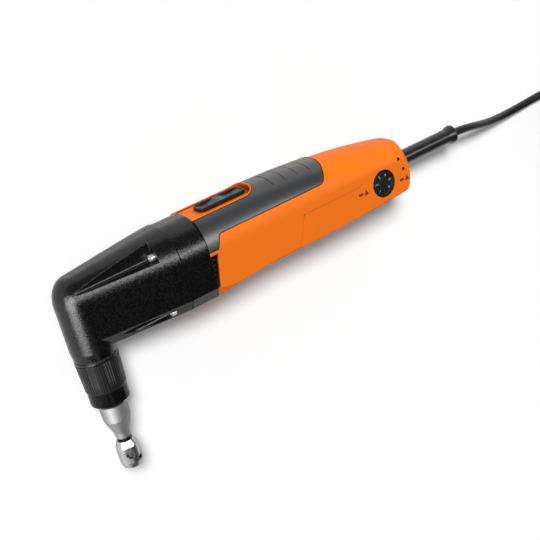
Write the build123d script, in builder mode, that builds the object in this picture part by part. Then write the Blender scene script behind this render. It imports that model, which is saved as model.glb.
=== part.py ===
"""Angle-head nibbler for sheet metal, at its real size in millimetres.

The tool lies on its flat side, as on a bench: X runs along the motor from the
cutting head to the cord, Y from the die up to the switch, and Z up from the
bench. The origin is under the middle of the tool's box, without its cord.
Lengths along the tool count from the plunger's axis, heights from the motor's.
"""
import os
from math import acos, ceil, cos, dist, pi, radians, sin, tan

from build123d import *

os.makedirs("parts", exist_ok=True)

# Cross-section of the head, ring and motor housing
half_width = 29.0
arch_height = 35.3
base_depth = 28.7
crease_height = 8.3
crown_half = 3.5
bevel_width = 5.0
bevel_height = 8.7
wall = 2.6

# Gear head, vent ring and motor housing
head_length = 75.0
head_radius = 17.5
head_height = 29.2
head_kink = 57.0
kink_height = 35.1
head_back_height = 36.3
ring_length = 24.0
ring_web = 8.0
vent_spigot = 13.0
vent_slots = 6
vent_slot_width = 1.9
vent_pitch = 3.8
vent_edge_lean = 7.0
housing_length = 212.0
waist_run = 21.0
waist_start_depth = 26.2
waist_length = 51.0
waist_depth = 24.4
back_from_end = 111.0
back_drop = 1.7
tail_from_end = 66.0
tail_drop = 5.3
tail_depth = 23.6
heel_from_end = 26.0
heel_drop = 11.7
heel_depth = 21.9
end_drop = 16.5
end_depth = 18.8
edge_bevel = 0.1
bottom_crown = 2.4
dome_length = 28.0
dome_radius = 36.0
end_wall = 7.0
cavity_dip = 3.2
cord_room_half = 15.0
cord_room_height = 12.0
tail_vent = 2.5
tail_vent_from_end = 20.5
tail_vent_y = 10.2
tail_vent_lean = 3.2
tail_vent_pitch = 9.7
label_from_end = 135.0
label_length = 76.0
label_lean = 12.0
label_top = 3.0
label_height = 29.0
label_depth = 0.4

# Nozzle, measured down from the motor axis
neck_end = 37.7
neck_radius = 16.9
neck_groove = 35.0
groove_width = 0.7
spigot_end = 52.0
spigot_radius = 14.0
collar_gap = 0.3
collar_end = 77.0
collar_band = 62.0
collar_radius = 17.0
collar_waist = 16.0
collar_band_radius = 15.5
collar_round = 3.0
collar_groups = 8
group_grooves = 3
groove_step = 7.0
groove_depth = 0.9
groove_gap = 1.0
flange_radius = 13.6
flange_thickness = 5.0
carrier_radius = 11.0
carrier_shoulder_radius = 10.7
carrier_shoulder = 91.0
carrier_cone_end = 103.5
carrier_end = 108.5
carrier_cone_radius = 6.2
carrier_tip_radius = 5.6
sheet_gap = 2.6
die_reach = 134.0
die_radius = 8.7
die_top_radius = 6.2
die_cone = 5.0
die_bore = 5.4
die_window = 3.4
die_window_height = 9.6
die_window_drop = 9.6
die_window_turn = 17.0
die_notch = 4.0
die_notch_turn = 40.0
die_foot = 4.0
die_foot_step = 1.2

# Fits and running gaps
running = 0.05
seat = 0.03
air = 0.3

# Gear train
gear_module = 0.6
rotor_teeth = 10
layshaft_teeth = 38
drive_teeth = 12
eccentric_teeth = 36
backlash = 0.16
pressure_angle = radians(25)
addendum = 0.8
dedendum = 1.05
gear_face = 8.0
pinion_overlap = 1.0
second_stage = 26.0
first_stage = 54.0
chamber_front = 24.0

# Eccentric drive, layshaft and their bearings
eccentric_throw = 2.5
eccentric_pin = 2.3
roller_radius = 4.5
roller_width = 7.0
journal_radius = 5.0
bearing_outer = 9.5
bearing_width = 5.0
layshaft_radius = 3.0
bush_outer = 4.0
bush_length = 6.0

# Plunger and punch
plunger_radius = 10.0
plunger_top = 16.6
plunger_web = 5.5
plunger_shoulder = 32.0
rod_radius = 6.0
rod_end = 85.0
guide_outer = 12.0
guide_top = 14.0
punch_radius = 2.95
punch_end = 119.0
punch_socket = 14.0
punch_guide_outer = 4.2
punch_guide_length = 16.0
grub_radius = 1.5

# Motor
rotor_radius = 13.1
air_gap = 0.4
stack_from_front = 43.0
stack_to_commutator = 19.0
stator_height = 20.5
winding_overhang = 11.0
winding_thickness = 5.0
coil_side = 5.0
coil_spread = 9.2
rotor_slots = 12
slot_width = 2.0
slot_depth = 4.0
shaft_radius = 4.0
commutator_radius = 9.0
commutator_to_bridge = 17.0
commutator_length = 12.0
commutator_bars = 24
bridge_from_end = 89.0
bridge_thickness = 7.0
fan_radius = 23.2
fan_from_front = 3.5
fan_width = 9.0
fan_plate = 1.6
fan_blades = 14
blade_thickness = 1.3
brush_width = 7.0
brush_height = 5.0
brush_length = 13.0
holder_wall = 1.2
spring_strip = 0.8

# Grip and switch
grip_proud = 1.3
grip_sunk = 0.6
grip_length = 127.0
grip_lean = 12.0
grip_edge = 19.0
grip_band = 13.0
grip_band_lean = 4.5
grip_round = 6.0
grip_corner = 4.0
grip_grooves = 4
groove_pitch = 12.0
groove_from_front = 75.0
groove_cut = 0.6
groove_half = 17.0
recess_half = 16.5
recess_length = 61.0
recess_depth = 3.4
recess_round = 12.0
button_from_front = 35.0
button_length = 42.0
button_width = 15.0
button_sink = 0.3
button_corner = 4.0
button_ridge = 5.0
scoop_depth = 1.6
switch_travel = 7.0
stem_length = 12.0
stem_width = 6.0
slide_rod_thickness = 3.0
slide_rod_width = 8.0
switch_block_length = 22.0
switch_block_height = 16.0
switch_block_width = 15.0

# Speed dial and control
dial_from_end = 40.0
dial_drop = 3.9
dial_radius = 11.0
dial_thickness = 4.4
dial_gap = 0.6
dial_sink = 0.3
dial_scallops = 20
scallop_radius = 1.1
dial_knob_radius = 5.0
dial_dish = 0.8
dial_shaft_radius = 2.5
cup_floor = 2.0
control_length = 26.0
control_height = 24.0
control_depth = 18.0

# Screws of the gear head
screw_radius = 1.9
screw_head_radius = 2.75
screw_head_length = 3.6
screw_socket = 1.3
upper_screw = (17.2, 20.9)
lower_screw = (21.6, -24.2)
upper_seat = 60.0
lower_seat = 62.0
trough_apex = (14.4, 18.0)
trough_round = 2.5
screw_bite = 5.0
boss_radius = 3.9

# Cord, its boot, coil and plug
cord_diameter = 7.3
boot_length = 67.0
cord_drop = 3.0
boot_radius = 6.7
boot_lip = 8.3
boot_lip_length = 8.0
boot_lip_round = 0.8
boot_flange = 9.0
boot_flange_thickness = 3.0
clamp_from_end = 16.5
clamp_width = 9.0
clamp_half_span = 11.0
clamp_thickness = 3.5
clamp_screw_radius = 1.6
clamp_screw_length = 16.0
run_share = 0.45
coil_inner = 29.2
coil_pitch = 8.0
coil_layers = 4
layer_turns = 3.375
layer_rise = 7.9
climb_turn = 0.5
out_turn = 0.25
drop_turn = 0.5
plug_swing = 8.0
sample_step = 1.6
tie_thickness = 0.8
tie_gap = 0.45
tie_width = 10.0
tie_angle = -60.0
plug_half_height = 13.0
plug_half_width = 18.0
plug_length = 36.0
plug_neck = 14.0
plug_neck_radius = 6.5
pin_radius = 2.4
pin_length = 19.0
pin_spacing = 19.0
lead_points = [
    (-6, 0, 0),
    (10, 0, 0),
    (30, -4.2, -4.0),
    (54, -10.6, -11.8),
    (80, -15.2, -19.8),
    (108, -16.6, -24.6),
    (136, -15.3, -25.3),
    (166, -14.2, -24.1),
    (197, -13.9, -24.1),
]

# Places worked out from the sizes above
housing_x = head_length + ring_length
housing_end = housing_x + housing_length
spigot_x = housing_x + vent_spigot
waist_start = housing_x + waist_run
waist_end = housing_x + waist_length
back_x = housing_end - back_from_end
tail_x = housing_end - tail_from_end
heel_x = housing_end - heel_from_end
dial_x = housing_end - dial_from_end
label_start = housing_end - label_from_end
tail_vent_x = housing_end - tail_vent_from_end
clamp_x = housing_end - clamp_from_end
boot_end = housing_end + boot_length
fan_start = housing_x + fan_from_front
bridge_start = housing_end - bridge_from_end
commutator_start = bridge_start - commutator_to_bridge
stack_start = housing_x + stack_from_front
stack_length = commutator_start - stack_to_commutator - stack_start
groove_start = housing_x + groove_from_front
button_centre = housing_x + button_from_front
recess_floor = arch_height - recess_depth
button_height = arch_height - button_sink
grip_end = housing_x + grip_length
head_x = (head_radius - housing_end) / 2
motor_y = (die_reach - arch_height - grip_proud) / 2
datum = Vector(head_x, motor_y, half_width)
side = Plane(origin=datum, x_dir=(1, 0, 0), z_dir=(0, 0, 1))
cross = Plane(origin=datum, x_dir=(0, 0, -1), z_dir=(1, 0, 0))
plan = Plane(origin=datum, x_dir=(1, 0, 0), z_dir=(0, 1, 0))
motor_axis = Axis(datum, (1, 0, 0))
cord_datum = datum - Vector(0, cord_drop, 0)
cord_axis = Axis(cord_datum, (1, 0, 0))
cord_side = Plane(origin=cord_datum, x_dir=(1, 0, 0), z_dir=(0, 0, 1))
cord_cross = Plane(origin=cord_datum, x_dir=(0, 0, -1), z_dir=(1, 0, 0))
nozzle_axis = Axis(datum, (0, 1, 0))
centre_distance = gear_module * (rotor_teeth + layshaft_teeth) / 2
lay_datum = datum + Vector(0, centre_distance, 0)
lay_cross = Plane(origin=lay_datum, x_dir=(0, 0, -1), z_dir=(1, 0, 0))
screw_places = [
    (flip * place[0], place[1], front)
    for place, front in ((upper_screw, upper_seat), (lower_screw, lower_seat))
    for flip in (-1, 1)
]


stations = [
    (housing_x, arch_height, base_depth, 1),
    (waist_start, arch_height, waist_start_depth, edge_bevel),
    (waist_end, arch_height, waist_depth, edge_bevel),
    (back_x, arch_height - back_drop, waist_depth, edge_bevel),
    (tail_x, arch_height - tail_drop, tail_depth, edge_bevel),
    (heel_x, arch_height - heel_drop, heel_depth, edge_bevel),
    (housing_end, arch_height - end_drop, end_depth, edge_bevel),
]


def between(x, start, end, first, last):
    """Value that goes evenly from first to last between two places."""
    share = min(max((x - start) / (end - start), 0), 1)
    return first + (last - first) * share


def form_at(x):
    """Height, depth and bevel share of the motor housing at a place along it."""
    for first, last in zip(stations, stations[1:]):
        if x <= last[0]:
            break
    return [between(x, first[0], last[0], first[part], last[part]) for part in (1, 2, 3)]


def arch_section(plane, half, top, depth, bevel=1):
    """Section of the body: round top, flat sides, bevelled lower edges, crowned bottom."""
    width = half - crown_half
    rise = top - crease_height
    skirt = depth - bottom_crown * (1 + edge_bevel - bevel)
    foot = half - bevel * bevel_width
    with BuildSketch(plane) as section:
        with BuildLine():
            Line((-crown_half, top), (crown_half, top))
            EllipticalCenterArc((crown_half, crease_height), width, rise, start_angle=0, arc_size=90)
            EllipticalCenterArc((-crown_half, crease_height), width, rise, start_angle=90, arc_size=90)
            Polyline((half, crease_height), (half, bevel * bevel_height - skirt), (foot, -skirt))
            ThreePointArc((foot, -skirt), (0, -depth), (-foot, -skirt))
            Polyline((-foot, -skirt), (-half, bevel * bevel_height - skirt), (-half, crease_height))
        make_face()
    return section.sketch


def form_sections(start, end, inset, rise=0.0):
    """Sections of the motor housing between two places, drawn in and raised."""
    places = [start, *[station[0] for station in stations if start < station[0] < end], end]
    forms = [(x, *form_at(x)) for x in places]
    return [
        arch_section(cross.offset(x), half_width - inset, top - inset + rise, depth - inset, bevel)
        for x, top, depth, bevel in forms
    ]


def gear_sketch(plane, teeth, tooth_at):
    """Spur gear with involute flanks and one tooth centred on an angle."""
    pitch = gear_module * teeth / 2
    base = pitch * cos(pressure_angle)
    tip = pitch + addendum * gear_module
    root = pitch - dedendum * gear_module

    def half_tooth(radius):
        flank = acos(min(base / radius, 1))
        at_pitch = (pi * gear_module / 2 - backlash / 2) / (2 * pitch)
        return at_pitch + tan(pressure_angle) - pressure_angle - tan(flank) + flank

    points = []
    for tooth in range(teeth):
        middle = radians(tooth_at) + 2 * pi * tooth / teeth
        for sign, radii in ((-1, (root, pitch, tip)), (1, (tip, pitch, root))):
            for radius in radii:
                angle = middle + sign * half_tooth(max(radius, base))
                points.append((radius * cos(angle), radius * sin(angle)))
    with BuildSketch(plane) as outline:
        with BuildLine():
            Polyline(*points, close=True)
        make_face()
    return outline.sketch


def ring_sketch(plane, outer, inner):
    """Flat ring, for tubes, bushes and bearings."""
    with BuildSketch(plane) as ring:
        Circle(outer)
        Circle(inner, mode=Mode.SUBTRACT)
    return ring.sketch


def bearing_sketch(start, width, bore):
    """Half section of a ball bearing with its shields set back."""
    shield = width / 8
    race = (bearing_outer - bore) / 4
    with BuildSketch(side) as section:
        with BuildLine():
            Polyline(
                (start, bore),
                (start, bore + race),
                (start + shield, bore + race),
                (start + shield, bearing_outer - race),
                (start, bearing_outer - race),
                (start, bearing_outer),
                (start + width, bearing_outer),
                (start + width, bearing_outer - race),
                (start + width - shield, bearing_outer - race),
                (start + width - shield, bore + race),
                (start + width, bore + race),
                (start + width, bore),
                close=True,
            )
        make_face()
    return section.sketch


def keep(piece, name):
    """Name a finished piece and write it to its file."""
    piece.part.label = name
    export_step(piece.part, f"parts/{name}.step")


# Gear head: a cast angle housing with a round nose, a gear chamber that opens
# to the ring, the plunger's bore, and a spigot for the nozzle's collar
kink_half = between(head_kink, 0, head_length, head_radius, half_width)
chamber_radius = gear_module * (layshaft_teeth / 2 + addendum) + 2 * air
bearing_start = chamber_front - 2 * bearing_width - 2 * air
bore_top = plunger_top + eccentric_throw + 2 * air
with BuildPart() as gear_housing:
    loft(
        [
            arch_section(cross.offset(head_length), half_width, head_back_height, base_depth),
            arch_section(cross.offset(head_kink), kink_half, kink_height, base_depth),
            arch_section(cross, head_radius, head_height, base_depth),
        ],
        ruled=True,
    )
    with BuildSketch(side):
        with BuildLine():
            Polyline((0, -spigot_end), (0, head_height), (crown_half, head_height))
            EllipticalCenterArc(
                (crown_half, crease_height),
                head_radius - crown_half,
                head_height - crease_height,
                start_angle=0,
                arc_size=90,
            )
            Polyline(
                (head_radius, crease_height),
                (head_radius, -base_depth),
                (neck_radius, -neck_groove),
                (neck_radius - groove_width, -neck_groove),
                (neck_radius - groove_width, -neck_groove - groove_width),
                (neck_radius, -neck_groove - groove_width),
                (neck_radius, -neck_end),
                (spigot_radius, -neck_end),
                (spigot_radius, -spigot_end),
                (0, -spigot_end),
            )
        make_face()
    revolve(axis=nozzle_axis)
    with BuildSketch(cross.offset(chamber_front)):
        with Locations((0, centre_distance / 2)):
            SlotCenterToCenter(centre_distance, 2 * chamber_radius, rotation=90)
    extrude(amount=head_length - chamber_front, mode=Mode.SUBTRACT)
    with BuildSketch(cross.offset(bearing_start)):
        Circle(bearing_outer + seat)
    extrude(amount=chamber_front - bearing_start, mode=Mode.SUBTRACT)
    with BuildSketch(cross):
        Circle(journal_radius + 2 * air)
    extrude(amount=bearing_start, mode=Mode.SUBTRACT)
    with BuildSketch(lay_cross.offset(chamber_front - bush_length)):
        Circle(bush_outer + seat)
    extrude(amount=bush_length, mode=Mode.SUBTRACT)
    with BuildSketch(plan.offset(-spigot_end)):
        Circle(guide_outer + seat)
    extrude(amount=spigot_end - guide_top, mode=Mode.SUBTRACT)
    with BuildSketch(plan.offset(-guide_top)):
        Circle(plunger_radius + running)
    extrude(amount=guide_top + bore_top, mode=Mode.SUBTRACT)
    for flip in (-1, 1):
        with BuildSketch(cross.offset(upper_seat)) as trough:
            with BuildLine():
                Polyline(
                    (flip * trough_apex[0], trough_apex[1]),
                    (flip * trough_apex[0], trough_apex[1] + arch_height),
                    (flip * (trough_apex[0] + half_width), trough_apex[1] + arch_height),
                    (flip * (trough_apex[0] + half_width), trough_apex[1]),
                    close=True,
                )
            make_face()
            inner = (flip * trough_apex[0], trough_apex[1])
            fillet(trough.vertices().sort_by_distance(inner)[0], trough_round)
        extrude(amount=-upper_seat - head_radius, mode=Mode.SUBTRACT)
        with BuildSketch(cross.offset(lower_seat)):
            with Locations((flip * lower_screw[0], lower_screw[1])):
                Circle(screw_head_radius + 2 * air)
        extrude(amount=-lower_seat, mode=Mode.SUBTRACT)
    for place in screw_places:
        with BuildSketch(cross.offset(place[2])):
            with Locations(place[:2]):
                Circle(screw_radius + air)
        extrude(amount=head_length - place[2], mode=Mode.SUBTRACT)
keep(gear_housing, "gear_housing")

# Vent ring: carries the front bearing in its web, and ends in a slotted spigot
# that the motor housing fits over and the cooling air leaves through
fan_room = fan_radius + 3 * air
with BuildPart() as vent_ring:
    extrude(arch_section(cross.offset(head_length), half_width, arch_height, base_depth), amount=ring_length)
    loft(form_sections(housing_x, spigot_x - air, wall + air, -cavity_dip), ruled=True)
    with BuildSketch(cross.offset(head_length + ring_web)):
        Circle(fan_room)
    extrude(amount=spigot_x - head_length - ring_web, mode=Mode.SUBTRACT)
    with BuildSketch(cross.offset(head_length)):
        Circle(bearing_outer - wall)
    extrude(amount=ring_web, mode=Mode.SUBTRACT)
    with BuildSketch(cross.offset(head_length + ring_web - bearing_width - air)):
        Circle(bearing_outer + seat)
    extrude(amount=bearing_width + air, mode=Mode.SUBTRACT)
    with BuildSketch(lay_cross.offset(head_length)):
        Circle(bush_outer + seat)
    extrude(amount=bush_length, mode=Mode.SUBTRACT)
    for place in screw_places:
        with BuildSketch(cross.offset(head_length)):
            with Locations(place[:2]):
                Circle(screw_radius + air)
        extrude(amount=spigot_x - head_length, mode=Mode.SUBTRACT)
    with BuildSketch(side.offset(-half_width)):
        with Locations((housing_x + vent_spigot / 2, crease_height / 2 - vent_slots * vent_pitch / 2)):
            with GridLocations(vent_pitch, vent_pitch, 1, vent_slots):
                Rectangle(vent_spigot - wall, vent_slot_width)
    extrude(amount=2 * half_width, mode=Mode.SUBTRACT)
keep(vent_ring, "vent_ring")

# Soft grip, before its window and grooves: a skin over the top of the housing
with BuildPart() as grip_blank:
    loft(form_sections(housing_x, grip_end, 0, grip_proud))
    loft(form_sections(housing_x, grip_end, grip_sunk), mode=Mode.SUBTRACT)
    with BuildSketch(side.offset(-half_width)) as grip_outline:
        with BuildLine():
            Polyline(
                (grip_end, 2 * arch_height),
                (housing_x, 2 * arch_height),
                (housing_x, crease_height),
                (housing_x + grip_band - grip_band_lean, crease_height),
                (housing_x + grip_band, grip_edge),
                (grip_end - grip_lean, grip_edge),
                (grip_end, arch_height),
                close=True,
            )
        make_face()
        for corner, radius in (
            ((housing_x + grip_band, grip_edge), grip_corner),
            ((grip_end - grip_lean, grip_edge), grip_round),
        ):
            fillet(grip_outline.vertices().sort_by_distance(corner)[0], radius)
    extrude(amount=2 * half_width, mode=Mode.INTERSECT)

# Motor housing: a moulded pot with flat sides, a falling back and a rounded end
cup_radius = dial_radius + dial_gap
cup_depth = dial_sink + dial_thickness + dial_gap
dome_start = housing_end - dome_length
cavity_end = dome_start + wall
room_end = housing_end - end_wall
recess_end = housing_x + recess_length
label_plane = Plane(
    origin=datum + Vector(label_start, 0, half_width - label_depth),
    x_dir=(label_length, 0, label_depth),
    z_dir=(-label_depth, 0, label_length),
)
rod_top = stator_height + air + slide_rod_thickness
with BuildPart() as recess_cutter:
    with BuildSketch(plan.offset(recess_floor)) as recess_outline:
        with BuildLine():
            Polyline(
                (housing_x, -recess_half),
                (recess_end, -recess_half),
                (recess_end, recess_half),
                (housing_x, recess_half),
                close=True,
            )
        make_face()
        fillet(recess_outline.vertices().group_by(Axis.X)[-1], recess_round)
    extrude(amount=arch_height)
with BuildPart() as screw_bosses:
    for place in screw_places:
        with BuildSketch(cross.offset(spigot_x)):
            with Locations(place[:2]):
                Circle(boss_radius)
        extrude(amount=screw_bite)
    loft(form_sections(housing_x, waist_end, wall / 2), mode=Mode.INTERSECT)
with BuildPart() as motor_housing:
    loft(form_sections(housing_x, housing_end, 0))
    with BuildSketch(cord_side):
        with BuildLine():
            Polyline(
                (housing_end, 0),
                (housing_x, 0),
                (housing_x, 2 * half_width),
                (dome_start, 2 * half_width),
                (dome_start, dome_radius),
            )
            EllipticalCenterArc((dome_start, 0), dome_length, dome_radius, start_angle=0, arc_size=90)
        make_face()
    revolve(axis=cord_axis, mode=Mode.INTERSECT)
    loft(form_sections(housing_x, cavity_end, wall, -cavity_dip), mode=Mode.SUBTRACT)
    with BuildSketch(cord_cross.offset(cavity_end - wall)):
        Rectangle(2 * cord_room_half, 2 * cord_room_height)
    extrude(amount=room_end - cavity_end + wall, mode=Mode.SUBTRACT)
    with BuildSketch(cord_cross.offset(room_end)):
        Circle(boot_radius + seat)
    extrude(amount=2 * end_wall, mode=Mode.SUBTRACT)
    add(screw_bosses.part)
    for place in screw_places:
        with BuildSketch(cross.offset(housing_x)):
            with Locations(place[:2]):
                Circle(screw_radius + seat)
        extrude(amount=vent_spigot + screw_bite, mode=Mode.SUBTRACT)
    add(grip_blank.part, mode=Mode.SUBTRACT)
    add(recess_cutter.part, mode=Mode.SUBTRACT)
    with BuildSketch(plan):
        with Locations((button_centre - switch_travel / 2, 0)):
            Rectangle(stem_length + switch_travel + 2 * air, stem_width + 2 * air)
    extrude(amount=arch_height, mode=Mode.SUBTRACT)
    with BuildSketch(side.offset(-half_width)):
        with BuildLine():
            Polyline(
                (housing_x, crease_height - wall),
                (housing_x + vent_edge_lean, crease_height - wall),
                (housing_x + wall / 2, bevel_height - base_depth),
                (housing_x, bevel_height - base_depth),
                close=True,
            )
        make_face()
    extrude(amount=2 * half_width, mode=Mode.SUBTRACT)
    with BuildSketch(side.offset(half_width - cup_depth - cup_floor)):
        with Locations((dial_x, -dial_drop)):
            Circle(cup_radius + wall)
    extrude(amount=cup_depth + cup_floor - wall / 2)
    with BuildSketch(side.offset(half_width - cup_depth)):
        with Locations((dial_x, -dial_drop)):
            Circle(cup_radius)
    extrude(amount=cup_depth, mode=Mode.SUBTRACT)
    with BuildSketch(side):
        with Locations((dial_x, -dial_drop)):
            Circle(dial_shaft_radius + running)
    extrude(amount=half_width, mode=Mode.SUBTRACT)
    with BuildSketch(side.offset(-half_width)):
        for step in (0, 1):
            with Locations((tail_vent_x + step * tail_vent_lean, tail_vent_y - step * tail_vent_pitch)):
                Rectangle(tail_vent, tail_vent)
    extrude(amount=2 * half_width, mode=Mode.SUBTRACT)
    with BuildSketch(label_plane):
        with BuildLine():
            Polyline(
                (label_lean, label_top),
                (label_length + label_lean, label_top),
                (label_length + label_lean, label_top - label_height),
                (0, label_top - label_height),
                close=True,
            )
        make_face()
    extrude(amount=2 * label_depth, mode=Mode.SUBTRACT)
    with BuildSketch(cord_side.offset(-cord_room_half - wall)):
        with Locations((clamp_x, 0)):
            Rectangle(clamp_width, 2 * clamp_half_span)
    extrude(amount=cord_room_half + wall - cord_diameter / 2 - seat)
    with BuildSketch(cord_side):
        with Locations((clamp_x, 0)):
            with GridLocations(0, 2 * clamp_half_span - clamp_width, 1, 2):
                Circle(clamp_screw_radius + seat)
    extrude(amount=-clamp_screw_length, mode=Mode.SUBTRACT)
keep(motor_housing, "motor_housing")

# Soft grip: the skin with its switch window and four grooves across the top
with BuildPart() as groove_cutter:
    for count in range(grip_grooves):
        x = groove_start + count * groove_pitch
        top, depth, bevel = form_at(x)
        extrude(arch_section(cross.offset(x), half_width, top + wall, depth), amount=groove_width)
    for count in range(grip_grooves):
        x = groove_start + count * groove_pitch
        top, depth, bevel = form_at(x + groove_width)
        extrude(
            arch_section(cross.offset(x), half_width - groove_cut, top + grip_proud - groove_cut, depth),
            amount=groove_width,
            mode=Mode.SUBTRACT,
        )
    with BuildSketch(plan):
        with Locations((grip_end, 0)):
            Rectangle(2 * grip_length, 2 * groove_half)
    extrude(amount=2 * arch_height, mode=Mode.INTERSECT)
with BuildPart() as grip_sleeve:
    add(grip_blank.part)
    with BuildSketch(plan):
        add(recess_outline.sketch_local)
    extrude(amount=2 * arch_height, mode=Mode.SUBTRACT)
    add(groove_cutter.part, mode=Mode.SUBTRACT)
keep(grip_sleeve, "grip_sleeve")

# Four socket screws hold head, ring and housing together
with BuildPart() as gear_screws:
    for place in screw_places:
        with BuildSketch(cross.offset(place[2] - screw_head_length)):
            with Locations(place[:2]):
                Circle(screw_head_radius)
        extrude(amount=screw_head_length)
        with BuildSketch(cross.offset(place[2])):
            with Locations(place[:2]):
                Circle(screw_radius)
        extrude(amount=spigot_x + screw_bite - place[2])
        with BuildSketch(cross.offset(place[2] - screw_head_length)):
            with Locations(place[:2]):
                RegularPolygon(screw_socket, 6)
        extrude(amount=screw_head_length / 2, mode=Mode.SUBTRACT)
keep(gear_screws, "gear_screws")

# Plunger: a round slide with a rear slot for the eccentric's roller and a rod
# that carries the punch, guided by the head's bore and a bronze bush
slot_half = roller_radius + 2 * eccentric_throw + air
with BuildPart() as plunger_guide:
    extrude(
        ring_sketch(plan.offset(-neck_end), guide_outer, plunger_radius + running),
        amount=neck_end - guide_top,
    )
keep(plunger_guide, "plunger_guide")

with BuildPart() as plunger:
    with BuildSketch(side):
        with BuildLine():
            Polyline(
                (0, -rod_end),
                (0, plunger_top),
                (plunger_radius, plunger_top),
                (plunger_radius, -plunger_shoulder),
                (rod_radius, -plunger_shoulder),
                (rod_radius, -rod_end),
                close=True,
            )
        make_face()
    revolve(axis=nozzle_axis)
    with BuildSketch(side.offset(-plunger_radius)):
        with Locations((plunger_web, 0)):
            Rectangle(2 * plunger_radius, 2 * slot_half)
    extrude(amount=2 * plunger_radius, mode=Mode.SUBTRACT)
    with BuildSketch(plan.offset(-rod_end)):
        Circle(punch_radius + seat)
    extrude(amount=punch_socket, mode=Mode.SUBTRACT)
    with BuildSketch(cross.offset(punch_radius)):
        with Locations((0, punch_socket / 2 - rod_end)):
            Circle(grub_radius + seat)
    extrude(amount=rod_radius, mode=Mode.SUBTRACT)
keep(plunger, "plunger")

with BuildPart() as punch_screw:
    with BuildSketch(cross.offset(punch_radius + seat)):
        with Locations((0, punch_socket / 2 - rod_end)):
            Circle(grub_radius)
    extrude(amount=rod_radius - punch_radius - air)
keep(punch_screw, "punch_screw")

with BuildPart() as punch:
    with BuildSketch(plan.offset(-punch_end)):
        Circle(punch_radius)
    extrude(amount=punch_end - rod_end + punch_socket - seat)
    with BuildSketch(side.offset(-punch_radius)):
        with Locations((-punch_radius, -carrier_end - sheet_gap / 2)):
            Rectangle(punch_radius, 2 * sheet_gap)
    extrude(amount=2 * punch_radius, mode=Mode.SUBTRACT)
keep(punch, "punch")

# Collar: the union nut that clamps the die carrier's flange to the neck, with
# groups of grip grooves on a slight taper over a plain band
flange_top = spigot_end + collar_gap
flange_bottom = flange_top + flange_thickness
with BuildPart() as clamp_collar:
    with BuildSketch(side):
        with BuildLine():
            Polyline(
                (spigot_radius + running, -neck_end - collar_gap),
                (collar_radius - groove_depth, -neck_end - collar_gap),
                (collar_radius, -neck_end - collar_gap - groove_depth),
                (collar_waist, -collar_band),
                (collar_band_radius, -collar_band - groove_width),
                (collar_band_radius, collar_round - collar_end),
                (collar_band_radius - collar_round, -collar_end),
                (carrier_radius + running, -collar_end),
                (carrier_radius + running, -flange_bottom - collar_gap),
                (spigot_radius + running, -flange_bottom - collar_gap),
                close=True,
            )
        make_face()
    revolve(axis=nozzle_axis)
    with BuildSketch(plan.offset(-collar_band)):
        for count in range(group_grooves):
            first = (count - (group_grooves - 1) / 2) * groove_step
            with PolarLocations(collar_radius, collar_groups, start_angle=first):
                Rectangle(2 * groove_depth, groove_gap)
    extrude(amount=collar_band - neck_end, mode=Mode.SUBTRACT)
keep(clamp_collar, "clamp_collar")

# Die carrier: barrel, cone and tip, turned by hand to set the cutting direction
carrier_bore = rod_radius + 2 * air
carrier_step = rod_end + eccentric_throw + 2 * air
with BuildPart() as die_carrier:
    with BuildSketch(side):
        with BuildLine():
            Polyline(
                (carrier_bore, -flange_top),
                (flange_radius, -flange_top),
                (flange_radius, -flange_bottom),
                (carrier_radius, -flange_bottom),
                (carrier_radius, -collar_end),
                (carrier_shoulder_radius, -carrier_shoulder),
                (carrier_cone_radius, -carrier_cone_end),
                (carrier_tip_radius, -carrier_end),
                (punch_guide_outer + seat, -carrier_end),
                (punch_guide_outer + seat, -carrier_step),
                (carrier_bore, -carrier_step),
                close=True,
            )
        make_face()
    revolve(axis=nozzle_axis)
keep(die_carrier, "die_carrier")

# Punch guide: a hard tube that joins die and carrier across the sheet gap
die_top = carrier_end + sheet_gap
guide_end = die_top + die_cone - 3 * air
with BuildPart() as punch_guide:
    extrude(
        ring_sketch(plan.offset(-guide_end), punch_guide_outer, punch_radius + running),
        amount=punch_guide_length,
    )
keep(punch_guide, "punch_guide")

# Die: a hollow cup with a chip window in its side and a notch at its back
window_angle = radians(die_window_turn)
window_plane = Plane(
    origin=datum - Vector(0, die_top + die_window_drop, 0),
    x_dir=(cos(window_angle), 0, sin(window_angle)),
    z_dir=(-sin(window_angle), 0, cos(window_angle)),
)
notch_angle = radians(die_notch_turn)
notch_plane = Plane(
    origin=datum,
    x_dir=(cos(notch_angle), 0, sin(notch_angle)),
    z_dir=(-sin(notch_angle), 0, cos(notch_angle)),
)
with BuildPart() as die:
    with BuildSketch(side):
        with BuildLine():
            Polyline(
                (punch_guide_outer + seat, -die_top),
                (die_top_radius, -die_top),
                (die_radius, -die_top - die_cone),
                (die_radius, die_foot - die_reach),
                (die_radius - die_foot_step, -die_reach),
                (die_bore, -die_reach),
                (die_bore, -die_top - die_cone),
                (punch_guide_outer + seat, -die_top - die_cone),
                close=True,
            )
        make_face()
    revolve(axis=nozzle_axis)
    with BuildSketch(window_plane):
        SlotCenterToCenter(die_window_height - 2 * die_window, 2 * die_window, rotation=90)
    extrude(amount=2 * die_radius, mode=Mode.SUBTRACT)
    with BuildSketch(notch_plane.offset(-die_notch)):
        with BuildLine():
            Polyline(
                (die_radius - die_notch, die_foot - die_reach),
                (die_radius + die_notch, die_foot - die_reach),
                (die_radius + die_notch, 3 * die_notch - die_reach),
                close=True,
            )
        make_face()
    extrude(amount=2 * die_notch, mode=Mode.SUBTRACT)
keep(die, "die")

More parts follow.
